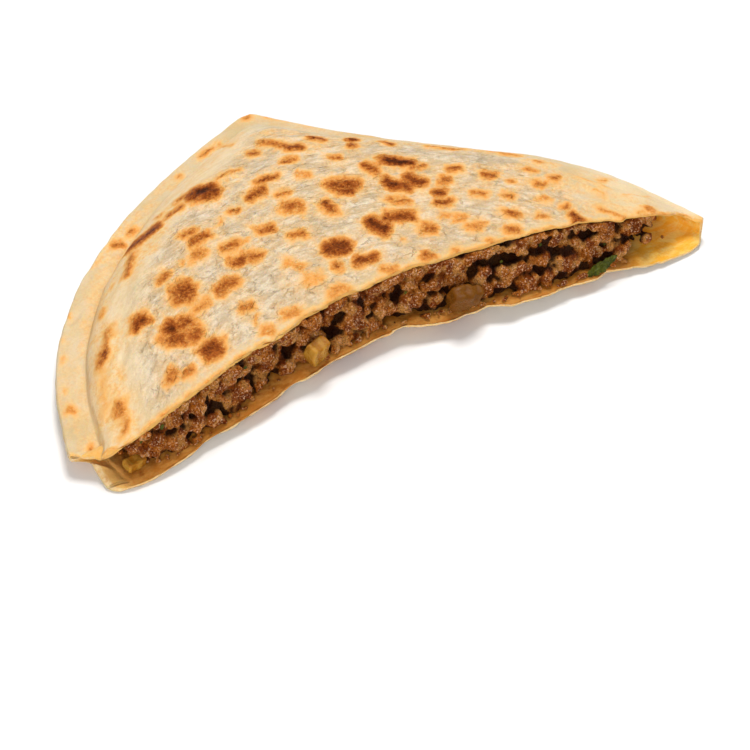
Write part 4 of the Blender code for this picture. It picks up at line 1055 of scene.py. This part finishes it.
def clumpPlaces(draw):
    # Columns of clumps along the cut, jittered, each column as tall as the gap between the sheets
    places = []
    columns = np.arange(mince["leftEnd"] + 3, mince["rightEnd"] - 1, mince["clumpSpacing"])
    for column, x in enumerate(columns):
        _, _, low, high = faceAt(np.array([x]), np.array([0.5]))
        count = max(1, round((high[0] - low[0]) / mince["clumpRow"]))
        raised = 0.3 if column % 2 else -0.15
        for row in range(count):
            share = (row + 0.5 + raised + draw.uniform(-0.45, 0.45)) / count
            places.append((x + draw.uniform(-3.4, 3.4), np.clip(share, 0.08, 0.94)))
    return np.array(places)


def lumpPlaces():
    # Lumps strewn over the front of each clump's ellipsoid, with more behind, under the roof and on the
    # floor
    draw = np.random.default_rng(mince["seed"])
    clumps = clumpPlaces(draw)
    count = mince["lumpsPerClump"]
    radius = draw.uniform(*mince["clumpRadius"], len(clumps))
    y, z, _, _ = faceAt(clumps[:, 0], clumps[:, 1])
    middle = np.column_stack((clumps[:, 0], y + radius * draw.uniform(0.2, 0.8, len(clumps)), z))
    direction = draw.normal(size=(len(clumps), count, 3))
    direction /= np.linalg.norm(direction, axis=2)[..., None]
    direction[..., 1] = -np.abs(direction[..., 1]) + 0.35
    stretch = draw.uniform((0.85, 0.7, 0.7), (1.25, 1.0, 1.0), (len(clumps), 3))[:, None, :]
    reach = draw.uniform(0.66, 0.9, (len(clumps), count, 1))
    front = (middle[:, None, :] + direction * stretch * reach * radius[:, None, None]).reshape(-1, 3)
    sizes = [draw.uniform(*mince["lumpRadius"], len(front)), 0.68 * radius]
    places = [front, middle + (0, 0.4, 0)]
    for number, shares, depths, radii, lift in (
            (mince["lumpsBehind"], (0, 1), (2.4, 6.5), mince["lumpsBehindRadius"], 0),
            (mince["lumpsAtBrow"], (0.84, 1), (-0.6, 2.4), mince["lumpRadius"], mince["roofRise"])):
        x = draw.uniform(mince["leftEnd"], mince["rightEnd"], number)
        y, z, _, _ = faceAt(x, draw.uniform(*shares, number))
        places.append(np.column_stack((x, y + draw.uniform(*depths, number), z + lift)))
        sizes.append(draw.uniform(*radii, number))
    place, size = np.concatenate(places), np.concatenate(sizes)
    _, _, low, high = faceAt(place[:, 0], np.zeros(len(place)))
    share = np.clip((place[:, 2] - low) / (high - low), 0, 1)
    behind = np.arange(len(place)) >= len(front) + len(middle)
    place[:, 1] += hollowDepth(place[:, 0], share, high, low) * np.where(behind, 0.4, 1)
    slant = mince["rightSlant"]
    kept = place[:, 0] < slant[0] + (slant[1] - slant[0]) * share
    place, size = place[kept], size[kept]
    place[:, 1] += 1.8 * smoothStep((place[:, 0] - 106) / 8)
    sx, sShare, sBack, sRadius = np.array(mince["strays"]).T
    sy, sz, _, _ = faceAt(sx, sShare)
    around = draw.normal(size=(len(sx), 8, 3))
    around *= 0.62 * sRadius[:, None, None] / np.linalg.norm(around, axis=2)[..., None]
    strays = np.column_stack((sx, sy + sBack, sz))
    place = np.concatenate((place, strays, (strays[:, None] + around).reshape(-1, 3)))
    size = np.concatenate((size, 0.75 * sRadius, np.repeat(0.5 * sRadius, 8)))
    place[:, 0] = np.clip(place[:, 0], mince["leftEnd"] - 6, mince["rightEnd"] + 3)

    number = mince["looseCrumbs"]
    x = draw.uniform(mince["leftEnd"] - 4, 112, number)
    band = fillingFace(x) - along(parcel["bottomCutLine"], x)
    y = fillingFace(x) + 0.6 - np.minimum(draw.exponential(1.2, number), 0.75 * band)
    loose = np.column_stack((x, y, fillingFloor(x, y)))
    place = np.concatenate((place, loose))
    size = np.concatenate((size, draw.uniform(0.45, 1.15, number)))
    lip = along(parcel["bottomCutLine"], place[:, 0]) + size + 0.6
    place[:, 1] = np.maximum(place[:, 1], lip)
    under, over = fillingFloor(place[:, 0], place[:, 1]), roofUnderLip(place[:, 0], place[:, 1])
    size = np.minimum(size, np.maximum(0.45 * (over - under), 0.5))
    place[:, 2] = np.clip(place[:, 2], under + 0.6 * size, over - 0.6 * size)
    return place, size, draw


def unitBall(level):
    shape = bmesh.new()
    bmesh.ops.create_icosphere(shape, subdivisions=level, radius=1)
    points = np.array([tuple(vertex.co) for vertex in shape.verts])
    faces = np.array([[vertex.index for vertex in face.verts] for face in shape.faces])
    shape.free()
    return points, faces


def lumpyBalls(place, size, draw, level=2, lump=0.22):
    # One small ball for each place, stretched, turned and roughened, as one set of points and faces
    ball, faces = unitBall(level)
    count = len(place)
    turn = np.linalg.qr(draw.normal(size=(count, 3, 3)))[0]
    stretch = draw.uniform((0.8, 0.8, 0.8), (1.45, 1.1, 1.0), (count, 3))
    points = np.einsum("nij,nkj->nki", turn, ball[None] * stretch[:, None, :])
    apart = 31 * np.arange(count)[:, None, None]
    bumps = roughness((points * 1.1 + apart).reshape(-1, 3), 1, 7).reshape(count, -1, 1)
    points = points * (1 + lump * bumps) * size[:, None, None] + place[:, None, :]
    offset = (np.arange(count) * len(ball))[:, None, None]
    return points.reshape(-1, 3), (faces[None] + offset).reshape(-1, 3)


def slabBehindFace(stations=110, levels=9):
    # A closed block behind the lumps, so that no daylight shows between them
    x = np.linspace(mince["leftEnd"] + 1, mince["rightSlant"][0] + 3, stations)
    front, rear = [], []
    for share in np.linspace(0.02, 0.98, levels):
        y, z, low, high = faceAt(x, np.full(stations, share))
        y = y + mince["coreBehindFoot"] + 0.6 * hollowDepth(x, np.full(stations, share), high, low)
        y = y + 1.2 * roughness2(x, z, 3.5, 77, 2)
        behind = y + mince["coreDepth"] - 3
        for line, depth in ((front, y), (rear, behind)):
            height = fillingFloor(x, depth) * (1 - share) + fillingRoof(x, depth) * share
            line.append(np.column_stack((x, depth, height)))
    grid = np.stack(front + rear[::-1])
    index = np.arange(len(grid) * stations).reshape(len(grid), stations)
    caps = []
    for end in (0, -1):
        a = index[:levels, end]
        b = index[levels:, end][::-1]
        caps.append(np.stack((a[:-1], a[1:], b[1:], b[:-1]), axis=-1))
    return grid.reshape(-1, 3), np.concatenate((facesBetween(len(grid), stations), *caps))


def joinedByVoxels(name, parts, voxel):
    # The parts' surfaces become one skin by Blender's voxel remesh, eased by one smoothing pass
    points = np.concatenate([part[0] for part in parts])
    faces, offset = [], 0
    for part in parts:
        faces += (part[1] + offset).tolist()
        offset += len(part[0])
    mesh = bpy.data.meshes.new(name)
    mesh.from_pydata((points * mm).tolist(), [], faces)
    shape = bmesh.new()
    shape.from_mesh(mesh)
    bmesh.ops.recalc_face_normals(shape, faces=shape.faces)
    shape.to_mesh(mesh)
    shape.free()
    rough = bpy.data.objects.new(name, mesh)
    bpy.context.scene.collection.objects.link(rough)
    skin = rough.modifiers.new("skin", "REMESH")
    skin.mode = "VOXEL"
    skin.voxel_size = voxel * mm
    ease = rough.modifiers.new("ease", "SMOOTH")
    ease.factor = 0.5
    ease.iterations = 1
    made = bpy.data.meshes.new_from_object(rough.evaluated_get(bpy.context.evaluated_depsgraph_get()))
    bpy.data.objects.remove(rough)
    count = len(made.vertices)
    place, normal = np.zeros(count * 3), np.zeros(count * 3)
    made.vertices.foreach_get("co", place)
    made.vertex_normals.foreach_get("vector", normal)
    quads = np.zeros(len(made.polygons) * 4, int)
    made.loops.foreach_get("vertex_index", quads)
    return place.reshape(-1, 3) / mm, normal.reshape(-1, 3), quads.reshape(-1, 4)


def coreBehind(stations=90, rowCount=12):
    # The rest of the filling, from just behind the face to the back of the pocket; it doesn't show
    line = insetEdge(parcel["pocketMargin"] + 2.9)
    line = resample(line[(line[:, 0] > mince["leftEnd"]) & (line[:, 0] < mince["rightEnd"])], 600)
    back = pointsAlong(line, stations)
    x = back[0, 0] + easedShares(stations) * (back[-1, 0] - back[0, 0])
    ends = np.clip(np.minimum(easedShares(stations), 1 - easedShares(stations)) / 0.04, 0, 1)[:, None]
    front = np.column_stack((x, fillingFace(x) + mince["coreBehindFoot"] + 3.5))
    front = front * ends + back * (1 - ends)
    over, under = [], []
    for share in np.linspace(0, 1, rowCount):
        plan = front + share * (back - front)
        roof = fillingRoof(*plan.T) - 0.3
        over.append(np.column_stack((plan, roof)))
        under.append(np.column_stack((plan, np.minimum(fillingFloor(*plan.T) + 0.3, roof - 0.3))))
    grid = np.stack(over + under[::-1])
    for end in (0, -1):
        grid[:, end] = grid[:, end].mean(axis=0)
    return grid.reshape(-1, 3), facesBetween(len(grid), stations)


def creviceDepth(points, cell=0.5, reach=5):
    # How far each point lies behind the foremost ones within reach, five cells, seen from before the cut
    column = ((points[:, 0] - points[:, 0].min()) / cell).astype(int)
    row = (points[:, 2] / cell).astype(int)
    front = np.full((column.max() + 1, row.max() + 1), np.inf)
    np.minimum.at(front, (column, row), points[:, 1])
    padded = np.pad(front, reach, constant_values=np.inf)
    shifts = [(i, j) for i in range(2 * reach + 1) for j in range(2 * reach + 1)
              if (i - reach) ** 2 + (j - reach) ** 2 <= reach ** 2]
    width, height = front.shape
    around = np.sort(np.stack([padded[i:i + width, j:j + height] for i, j in shifts]), axis=0)
    return points[:, 1] - around[3][column, row]


def makeMince():
    place, size, draw = lumpPlaces()
    balls = lumpyBalls(place, size, draw)
    points, normal, faces = joinedByVoxels("minceFilling", (balls, slabBehindFace()), mince["voxel"])
    grit = 0.6 * roughness(points, 0.95, 51, 2) + 0.4 * roughness(points, 2.3, 53)
    points = points + normal * (mince["grain"] * grit)[:, None]
    over, under = roofUnderLip(*points[:, :2].T) + 0.2, fillingFloor(*points[:, :2].T) - 0.2
    points[:, 2] = np.clip(points[:, 2], under, np.maximum(over, under + 0.1))
    _, _, low, high = faceAt(points[:, 0], np.zeros(len(points)))
    share = np.clip((points[:, 2] - low) / np.maximum(high - low, 1), 0, 1)
    front, _, _, _ = faceAt(points[:, 0], share)
    # Painted shade: how far each point lies behind the face and behind its neighbours sets how dark the meat
    # is painted
    absolute = smoothStep((points[:, 1] - front - 1.5 - 3.5 * smoothStep((points[:, 0] - 106) / 8)) / 6)
    deep = np.maximum(absolute, smoothStep((creviceDepth(points) - 0.8) / 3.2))
    core = coreBehind()
    marks = {"deep": np.concatenate((deep, np.ones(len(core[0]))))}
    return meshObject("minceFilling", np.concatenate((points, core[0])),
                      np.concatenate((faces, core[1] + len(points))), marks, weld=0.001)


def minceFinish():
    # Browned meat in small cells of their own tone, with painted highlights as pale flecks and glints in
    # front, and painted shade where it is deep
    paint = Paint("mincedMeat")
    deep = paint.attribute("deep")
    grains = paint.cells(paint.place, 0.34, "Color")
    tone = paint.times(paint.noise(paint.place, 0.16, 3, 0.6), 0.55)
    tone = paint.math("MULTIPLY_ADD", grains, 0.45, tone)
    fine = paint.noise(paint.place, 1.15, 4, 0.72)
    tone = paint.math("MULTIPLY_ADD", fine, 0.62, paint.times(tone, 0.6))
    bits = paint.cells(paint.shaken(paint.place, 0.6, 1.2), 0.34, "Color")
    meat = paint.ramp(tone, mince["tones"])
    oily = paint.span(paint.noise(paint.place, 0.11, 2, 0.5), 0.52, 0.68)
    meat = paint.mix(paint.times(oily, 0.4), meat, (0.44, 0.12, 0.008))
    meat = paint.mix(paint.times(paint.span(bits, 0.66, 0.72), 0.6), meat, (0.60, 0.27, 0.06))
    meat = paint.mix(paint.times(paint.span(bits, 0.36, 0.30), 0.55), meat, (0.22, 0.036, 0.003))
    # Painted highlights: pale flecks on the parts of the meat in front
    pale = paint.times(paint.span(fine, 0.54, 0.66), paint.span(deep, 0.35, 0.0))
    meat = paint.mix(paint.times(pale, 0.66), meat, (0.78, 0.35, 0.15))
    # Painted shade: tiny near-black pits between the grains
    pits = paint.span(paint.noise(paint.place, 1.9, 3, 0.7), 0.47, 0.37)
    meat = paint.mix(paint.times(pits, 0.80), meat, (0.05, 0.008, 0.0005))
    # Painted highlights: bright glints on the parts of the meat in front
    glintNoise = paint.span(paint.noise(paint.place, 1.3, 2, 0.6), 0.57, 0.64)
    glints = paint.times(glintNoise, paint.span(deep, 0.3, 0.0))
    meat = paint.mix(paint.times(glints, 0.8), meat, (1.0, 0.62, 0.38))
    shade = paint.times(paint.span(deep, 0.14, 0.85), 0.95)
    colour = paint.mix(shade, meat, (0.016, 0.003, 0.0005))
    height = paint.math("ADD", fine, paint.times(paint.noise(paint.place, 3.2, 3, 0.7), 0.5))
    normal = paint.bump(height, 1.5, 1.0)
    rough = paint.span(paint.noise(paint.place, 0.7, 3, 0.6), 0.35, 0.65, 0.20, 0.50)
    return paint.finish(**{
        "Base Color": colour, "Roughness": rough, "Normal": normal, "Subsurface Weight": 0.06,
        "Subsurface Radius": (1.0, 0.35, 0.2), "Subsurface Scale": 0.9 * mm, "Specular IOR Level": 0.13,
    })


meat = dress(makeMince(), minceFinish(), "minced_meat", "mince_filling")
print("filling made", len(meat.data.polygons), "faces")


# Onion, leaf and loose bits

onions = {
    # x along the cut, height, depth behind the filling's face; size; turn in degrees
    "onion_dice_middle": ((-18.5, 12.4, 0.0), (7.8, 5.4, 9.0), (12, -6, 14)),
    "onion_dice_right": ((42.6, 12.8, 0.8), (12.2, 6.2, 9.0), (14, 10, -8)),
    "onion_dice_left": ((-97, 5.2, -1.8), (7.5, 4.4, 3.8), (6, 4, 8)),
}
leaf = {
    "place": (100, 8.4, -0.9), "size": (14.5, 4.3, 1.1), "turn": (62, -15, 2), "stations": 90, "round": 40,
}


def turned(points, degrees):
    turn = np.eye(3)
    for axis, angle in zip("XYZ", degrees):
        turn = np.array(Matrix.Rotation(math.radians(angle), 3, axis)) @ turn
    return points @ turn.T


def placed(points, place, turn):
    x, height, depth = place
    y = float(fillingFace(np.array([x]))[0]) + depth
    return turned(points, turn) + (x, y, height)


def makeOnion(node, seed, cuts=16):
    # A box rounded about an inner box; its layers stand out in turn along its length, on slightly bowed
    # faces. The stewed one on the right is rounder, lumpier and brown
    place, size, turn = onions[node]
    shape = bmesh.new()
    bmesh.ops.create_cube(shape, size=2)
    bmesh.ops.subdivide_edges(shape, edges=shape.edges, cuts=cuts, use_grid_fill=True)
    unit = np.array([tuple(vertex.co) for vertex in shape.verts])
    faces = np.array([[vertex.index for vertex in face.verts] for face in shape.faces])
    shape.free()
    half = np.array(size) / 2
    stewed = node == "onion_dice_right"
    radius = (0.5 if stewed else 0.30) * half.min()
    points = unit * half
    inner = np.clip(points, radius - half, half - radius)
    away = points - inner
    points = inner + radius * away / np.maximum(np.linalg.norm(away, axis=1), 1e-9)[:, None]
    outward = unit / np.linalg.norm(unit, axis=1)[:, None]
    layer = 0.5 + 0.5 * np.sin(points[:, 0] * 1.5 + 0.8 * np.sin(points[:, 2] * 0.7 + seed))
    relief = 0.12 * layer + (0.75 if stewed else 0.28) * roughness(points, 3.6, seed, 2)
    points = points + outward * relief[:, None]
    points[:, 0] += 0.06 * (points[:, 2] ** 2) - 0.25
    points[:, 2] *= 1 - 0.06 * unit[:, 0]
    brown = np.full(len(points), float(stewed))
    return meshObject(node + "Look", placed(points, place, turn), faces, {"layer": layer, "brown": brown})


def onionFinish():
    # Oily, see-through flesh with paler and browner layers and patches
    paint = Paint("cookedOnion")
    layer = paint.attribute("layer")
    patch = paint.noise(paint.place, 0.32, 3, 0.6)
    fine = paint.noise(paint.place, 1.4, 3, 0.6)
    flesh = paint.mix(paint.span(layer, 0.1, 0.9), (0.37, 0.150, 0.012), (0.48, 0.245, 0.034))
    browner = paint.times(paint.span(patch, 0.45, 0.68), 0.75)
    flesh = paint.mix(browner, flesh, (0.32, 0.12, 0.012))
    stewed = paint.mix(patch, (0.085, 0.024, 0.001), (0.20, 0.070, 0.008))
    flesh = paint.mix(paint.times(paint.attribute("brown"), 0.9), flesh, stewed)
    normal = paint.bump(paint.math("ADD", fine, paint.times(layer, 0.5)), 0.35, 0.7)
    return paint.finish(**{
        "Base Color": flesh, "Roughness": paint.span(fine, 0.3, 0.7, 0.16, 0.38), "Normal": normal,
        "Subsurface Weight": 0.45, "Subsurface Radius": (1.0, 0.6, 0.2), "Subsurface Scale": 2.2 * mm,
        "Specular IOR Level": 0.10,
    })


def makeLeaf():
    # Flat rings along a bent, cupped and ruffled blade, with raised veins; both ends close to a point
    length, width, thickness = leaf["size"]
    u = np.linspace(0, 1, leaf["stations"])[:, None]
    turn = np.linspace(0, math.tau, leaf["round"], endpoint=False)[None]
    half = 0.5 * width * np.sin(math.pi * np.clip(u, 0, 1) ** 0.8) ** 0.6
    half = half * (1 + 0.10 * np.sin(u * 31) + 0.06 * np.sin(u * 67 + 1))
    across = half * np.cos(turn)
    share = np.cos(turn) + 0 * u
    edgeThin = 0.25 + 0.75 * np.sqrt(np.clip(1 - share ** 2, 0, 1))
    veins = 0.5 + 0.5 * np.cos((u * 13 - np.abs(share) * 2.2) * math.tau)
    ridge = np.exp(-(share / 0.12) ** 2)
    ruffle = 0.32 * np.sin(u * 9 + share * 2.4) + 0.28 * np.sin(u * 21 - share * 3)
    lift = (0.5 * (across / (0.5 * width)) ** 2 + ruffle) * np.sin(math.pi * u) ** 0.5
    taper = np.minimum(1, 12 * np.minimum(u, 1 - u))
    body = 0.30 * thickness * np.sin(turn) * edgeThin * taper
    raised = np.where(np.sin(turn) > 0, 0.10 * veins + 0.14 * ridge, 0) * taper
    grid = np.stack(((u - 0.5) * length + 0 * turn, across, lift + body + raised), axis=-1)
    for end in (0, -1):
        grid[end] = grid[end].mean(axis=0)
    count, around, _ = grid.shape
    index = np.arange(count * around).reshape(count, around)
    after = np.roll(index, -1, axis=1)
    faces = np.stack((index[:-1], after[:-1], after[1:], index[1:]), axis=-1).reshape(-1, 4)
    points = placed(grid.reshape(-1, 3), leaf["place"], leaf["turn"])
    return meshObject("herbLeafLook", points, faces, {"vein": np.maximum(veins * 0.6, ridge).ravel()})


def leafFinish():
    paint = Paint("greenLeaf")
    vein = paint.attribute("vein")
    patch = paint.noise(paint.place, 0.35, 3, 0.6)
    green = paint.mix(paint.span(patch, 0.35, 0.65), (0.021, 0.026, 0.0008), (0.088, 0.088, 0.003))
    green = paint.mix(paint.times(vein, 0.5), green, (0.085, 0.12, 0.015))
    fine = paint.noise(paint.place, 2.0, 3, 0.6)
    return paint.finish(**{
        "Base Color": green, "Roughness": paint.span(fine, 0.3, 0.7, 0.22, 0.45),
        "Normal": paint.bump(paint.math("ADD", fine, vein), 0.25, 0.7),
        "Subsurface Weight": 0.10, "Subsurface Radius": (0.4, 1.0, 0.3), "Subsurface Scale": 0.6 * mm,
        "Specular IOR Level": 0.14,
    })


# Bits of the herb: x along the cut, share of the height, size
herbFlecks = ((47.5, 0.90, 0.9), (61, 0.73, 0.7), (-85.5, 0.90, 0.9), (-94, 0.86, 0.7), (-48, 0.85, 0.8),
              (22, 0.62, 0.6), (-30, 0.30, 0.6), (78, 0.85, 0.7), (-70, 0.25, 0.5), (104, 0.55, 0.6))


def makeFlecks():
    # Flat crumpled bits, half sunk in the filling's face
    x, share, size = np.array(herbFlecks).T
    y, z, _, _ = faceAt(x, share)
    draw = np.random.default_rng(97)
    place = np.column_stack((x, y - 0.3, z))
    points, faces = lumpyBalls(0 * place, size, draw, lump=0.35)
    points = points.reshape(len(x), -1, 3) * (1, 0.35, 1) + place[:, None]
    return meshObject("herbFlecks", points.reshape(-1, 3), faces, {"vein": np.full(points.size // 3, 0.35)})


onionLook = onionFinish()
for seed, node in enumerate(onions):
    dress(makeOnion(node, 301 + seed), onionLook, "cooked_onion", node)
leafLook = leafFinish()
dress(makeLeaf(), leafLook, "green_leaf", "herb_leaf")
dress(makeFlecks(), leafLook, "green_leaf")
print("onions and leaf made")


# Stage, light and camera

def areaLight(name, place, aim, size, power, colour=(1, 1, 1)):
    lamp = bpy.data.lights.new(name, "AREA")
    lamp.shape = "DISK"
    lamp.size = size
    lamp.energy = power
    lamp.color = colour
    holder = bpy.data.objects.new(name, lamp)
    holder.location = place
    holder.rotation_euler = (Vector(aim) - Vector(place)).to_track_quat("-Z", "Y").to_euler()
    bpy.context.scene.collection.objects.link(holder)


def makeStage():
    shape = bmesh.new()
    bmesh.ops.create_grid(shape, x_segments=1, y_segments=1, size=2.5)
    mesh = bpy.data.meshes.new("floor")
    shape.to_mesh(mesh)
    shape.free()
    floor = bpy.data.objects.new("floor", mesh)
    bpy.context.scene.collection.objects.link(floor)
    paint = Paint("paleFloor")
    floor.data.materials.append(paint.finish(**{"Base Color": (0.93, 0.93, 0.94, 1), "Roughness": 0.6}))
    world = bpy.data.worlds.new("softRoom")
    world.use_nodes = True
    world.node_tree.nodes["Background"].inputs["Color"].default_value = (0.98, 0.98, 1.0, 1)
    world.node_tree.nodes["Background"].inputs["Strength"].default_value = 0.30
    bpy.context.scene.world = world
    areaLight("keyLight", (0.28, 0.33, 1.16), (0, 0, 0), 0.55, 12.4, (1.0, 0.99, 0.97))
    areaLight("fillLight", (-0.62, -0.85, 0.6), (0, 0, 0), 0.8, 7.6, (1.0, 0.96, 0.89))


def makeCamera():
    back = Vector(towardsCamera())
    lens = bpy.data.cameras.new("photoCamera")
    lens.sensor_width = 36
    lens.lens = view["distance"] / view["mmPerPixel"] * lens.sensor_width / view["pixels"]
    lens.clip_start = 0.01
    camera = bpy.data.objects.new("photoCamera", lens)
    camera.location = (Vector(view["target"]) + view["distance"] * back) * mm
    camera.rotation_euler = (-back).to_track_quat("-Z", "Y").to_euler()
    bpy.context.scene.collection.objects.link(camera)
    bpy.context.scene.camera = camera


makeStage()
makeCamera()
bpy.context.scene.view_settings.view_transform = "Standard"
print("stage, light and camera ready")
